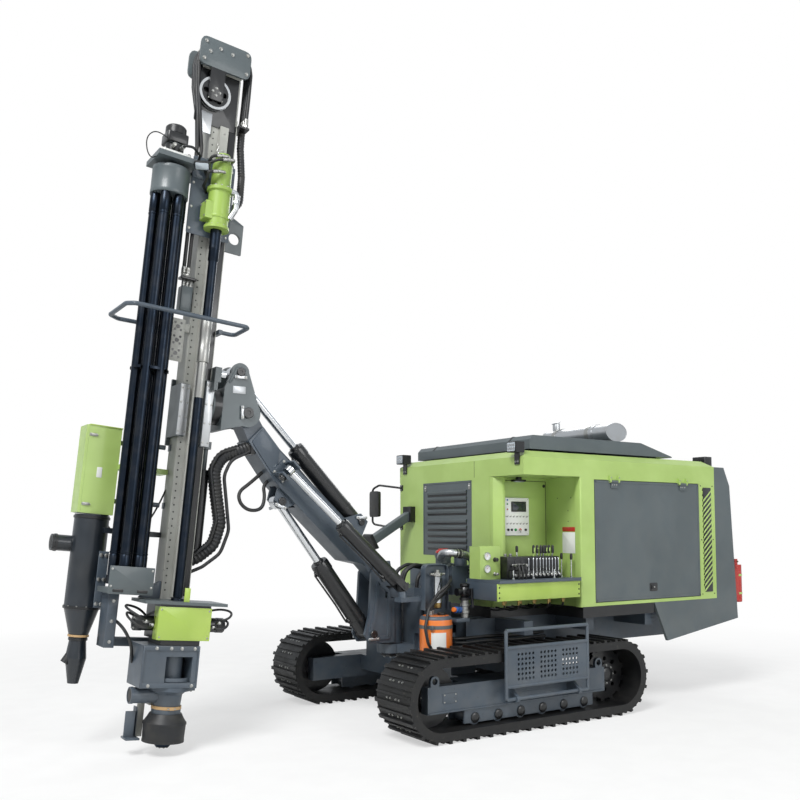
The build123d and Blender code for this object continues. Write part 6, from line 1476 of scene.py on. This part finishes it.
# Mirror's case and glass, and its arm's feet
mirror = stand((-0.055, -1.114, 1.930), (-1.0, 0.0, 0.0))
piece("mirror_case", [rim(oblong((-0.09, 0.09), (-0.136, 0.136), 0.03), 0.012, -0.024, 0.006, mirror,
    0.004), brick((-0.088, 0.088), (-0.134, 0.134), (-0.03, -0.018), mirror, 0.03, 0.006)], NYLON)
piece("mirror_glass", brick((-0.077, 0.077), (-0.123, 0.123), (0.0, 0.0025), mirror, 0.022, 0.001), LENS)
for z in (2.100, 1.690):
    foot = stand((-0.275, -0.950, z), FRONT)
    side = "upper" if z > 2 else "lower"
    piece(f"mirror_foot_{side}", [brick((-0.025, 0.025), (-0.03, 0.03), (0.0, 0.008), foot, 0.008)], BLACK)
    piece(f"mirror_foot_{side}_bolts", dotted(bolt(0.007), (put(foot, (0, 0, 0.008)), foot[1]),
        [(0.0, 0.022), (0.0, -0.022)]), ZINC)

# Tracks: a low rib and four bolts on each shoe, caps and bolts on the rollers and the wheels
TRACK_MIDDLE = np.array([-0.235, 0.0, 0.340])
track_line, half_base, belt_radius, shoe_count = 0.960, 0.995, 0.318, 44
belt_length = 4 * half_base + 2 * math.pi * belt_radius


def belt_frame(distance, y):
    """A frame on the belt at a distance round it from its top rear: straight runs joined by half
    circles of the belt's radius; z faces out and y runs along the shoe."""
    distance = distance % belt_length
    arc = math.pi * belt_radius
    if distance < 2 * half_base:
        turn, middle = 0.0, distance - half_base
    elif distance < 2 * half_base + arc:
        turn, middle = (distance - 2 * half_base) / belt_radius, half_base
    elif distance < 4 * half_base + arc:
        turn, middle = math.pi, half_base - (distance - 2 * half_base - arc)
    else:
        turn, middle = math.pi + (distance - 4 * half_base - arc) / belt_radius, -half_base
    out = np.array([math.sin(turn), 0.0, math.cos(turn)])
    place = TRACK_MIDDLE + (middle, y, 0.0) + belt_radius * out
    return place, np.array([[out[2], 0.0, -out[0]], [0.0, 1.0, 0.0], out])


shoe_pitch = belt_length / shoe_count
shoe_rib = slab(np.array([(-0.009, -0.236), (0.009, -0.236), (0.009, 0.236), (-0.009, 0.236)]),
    -0.002, 0.012, edge=0.003)
for side, y in (("left", track_line), ("right", -track_line)):
    piece(f"{side}_shoe_ribs", copies(shoe_rib, [belt_frame(k * shoe_pitch, y) for k in range(shoe_count)]),
        TRACK)
    piece(f"{side}_shoe_bolts", copies(bolt(0.009), [belt_frame((k + 0.25) * shoe_pitch, y + across)
        for k in range(shoe_count) for across in (-0.085, -0.04, 0.04, 0.085)]), ZINC)
    hand = math.copysign(1.0, y)
    outer = machine_side(y, hand)
    roller_cap = turned([(0.04, 0.13), (0.042, 0.134), (0.042, 0.146), (0.034, 0.152), (0.012, 0.153)],
        steps=20)
    rollers = [(-hand * (-0.235 + 0.245 * (k - 2.5)), 0.151) for k in range(6)]
    piece(f"{side}_roller_caps", dotted(roller_cap, outer, rollers), BLACK)
    for wheel, x in (("idler", 0.760), ("sprocket", -1.230)):
        hub = stand((x, y, 0.340), (0.0, hand, 0.0))
        piece(f"{side}_{wheel}_cap", turned([(0.062, 0.047), (0.064, 0.05), (0.064, 0.062), (0.052, 0.07),
            (0.02, 0.071)], hub, 28), BLACK)
        piece(f"{side}_{wheel}_bolts", dotted(bolt(0.009), hub, circle(0.08, 0, 45, 0.048)), ZINC)
    frame_side = machine_side(y + 0.140 * hand, hand)
    run = sorted(-hand * x for x in (-1.095, 0.835))
    piece(f"{side}_frame_lip", [brick(run, (0.219, 0.233), (-0.001, 0.01), frame_side, 0.003)], BLUE_GREY)
    hatch = sorted(-hand * x for x in (0.560, 0.700))
    piece(f"{side}_tension_cover", brick(hatch, (0.29, 0.37), (-0.001, 0.005), frame_side, 0.01), BLUE_GREY)
    piece(f"{side}_tension_cover_screws", dotted(screw(0.008), machine_side(y + 0.145 * hand, hand),
        [(-hand * x, z) for x in (0.575, 0.685) for z in (0.302, 0.358)]), ZINC)

# Stage: a pale floor, white where the camera sees it past the shadow, and soft studio light
floor_half = 60.0
floor_mesh = bpy.data.meshes.new("floor")
corners = np.array([[-1, -1, 0], [1, -1, 0], [1, 1, 0], [-1, 1, 0]]) * floor_half
floor_mesh.from_pydata((corners + (0, 0, -0.001)).tolist(), [], [(0, 1, 2, 3)])
floor = bpy.data.objects.new("floor", floor_mesh)
bpy.context.collection.objects.link(floor)
floor_material, tree, output, place = new_material("studio_floor")
speckle = patches(tree, place, 300.0)
pale = blended(tree, speckle, colour("F4F4F3"), colour("F0F0EF"))
matt_floor = add(tree, "ShaderNodeBsdfDiffuse", {"Color": pale})
white = add(tree, "ShaderNodeEmission", {"Color": colour("FFFFFF"), "Strength": 1.0})
seen = add(tree, "ShaderNodeLightPath")
distance = add(tree, "ShaderNodeVectorMath", {0: place}, operation="LENGTH").outputs["Value"]
far = add(tree, "ShaderNodeMapRange", {"Value": distance, "From Min": 4.0, "From Max": 9.0, "To Min": 0.55})
share = times(tree, seen.outputs["Is Camera Ray"], far.outputs["Result"])
mixed = add(tree, "ShaderNodeMixShader", {0: share, 1: matt_floor.outputs["BSDF"],
    2: white.outputs["Emission"]})
tree.links.new(mixed.outputs["Shader"], output.inputs["Surface"])
floor.data.materials.append(floor_material)

world = bpy.data.worlds.new("studio")
bpy.context.scene.world = world
world.use_nodes = True
tree = world.node_tree
tree.nodes.clear()
paths = add(tree, "ShaderNodeLightPath")
shown = add(tree, "ShaderNodeMath", {0: paths.outputs["Is Camera Ray"],
    1: paths.outputs["Is Transmission Ray"]}, operation="MAXIMUM")
mirrored = add(tree, "ShaderNodeMath", {0: paths.outputs["Is Glossy Ray"], 1: 0.5, 2: 0.36},
    operation="MULTIPLY_ADD")
plain = add(tree, "ShaderNodeBackground", {"Color": colour("EDF1F5"),
    "Strength": mirrored.outputs["Value"]})
bright = add(tree, "ShaderNodeBackground", {"Color": colour("FFFFFF"), "Strength": 1.0})
mixed = add(tree, "ShaderNodeMixShader",
            {0: shown.outputs["Value"], 1: plain.outputs["Background"], 2: bright.outputs["Background"]})
add(tree, "ShaderNodeOutputWorld", {"Surface": mixed.outputs["Shader"]})

lamp_table = [
    ("key_lamp", (12.0, 8.0, 16.0), (0.0, 0.0, 1.2), 7.0, 3400.0),
    ("fill_lamp", (-3.0, 13.0, 6.0), (-1.0, 0.0, 1.2), 6.0, 520.0),
    ("back_lamp", (-7.0, -6.0, 7.0), (0.0, 0.0, 1.5), 5.0, 260.0),
]
for name, lamp_place, aim, width, power in lamp_table:
    data = bpy.data.lights.new(name, "AREA")
    data.size = width
    data.energy = power
    lamp = bpy.data.objects.new(name, data)
    lamp.location = lamp_place
    direction = np.array(aim) - np.array(lamp_place)
    yaw = math.atan2(direction[1], direction[0])
    tilt = math.atan2(-direction[2], math.hypot(direction[0], direction[1]))
    lamp.rotation_euler = (math.pi / 2 - tilt, 0.0, yaw - math.pi / 2)
    bpy.context.collection.objects.link(lamp)
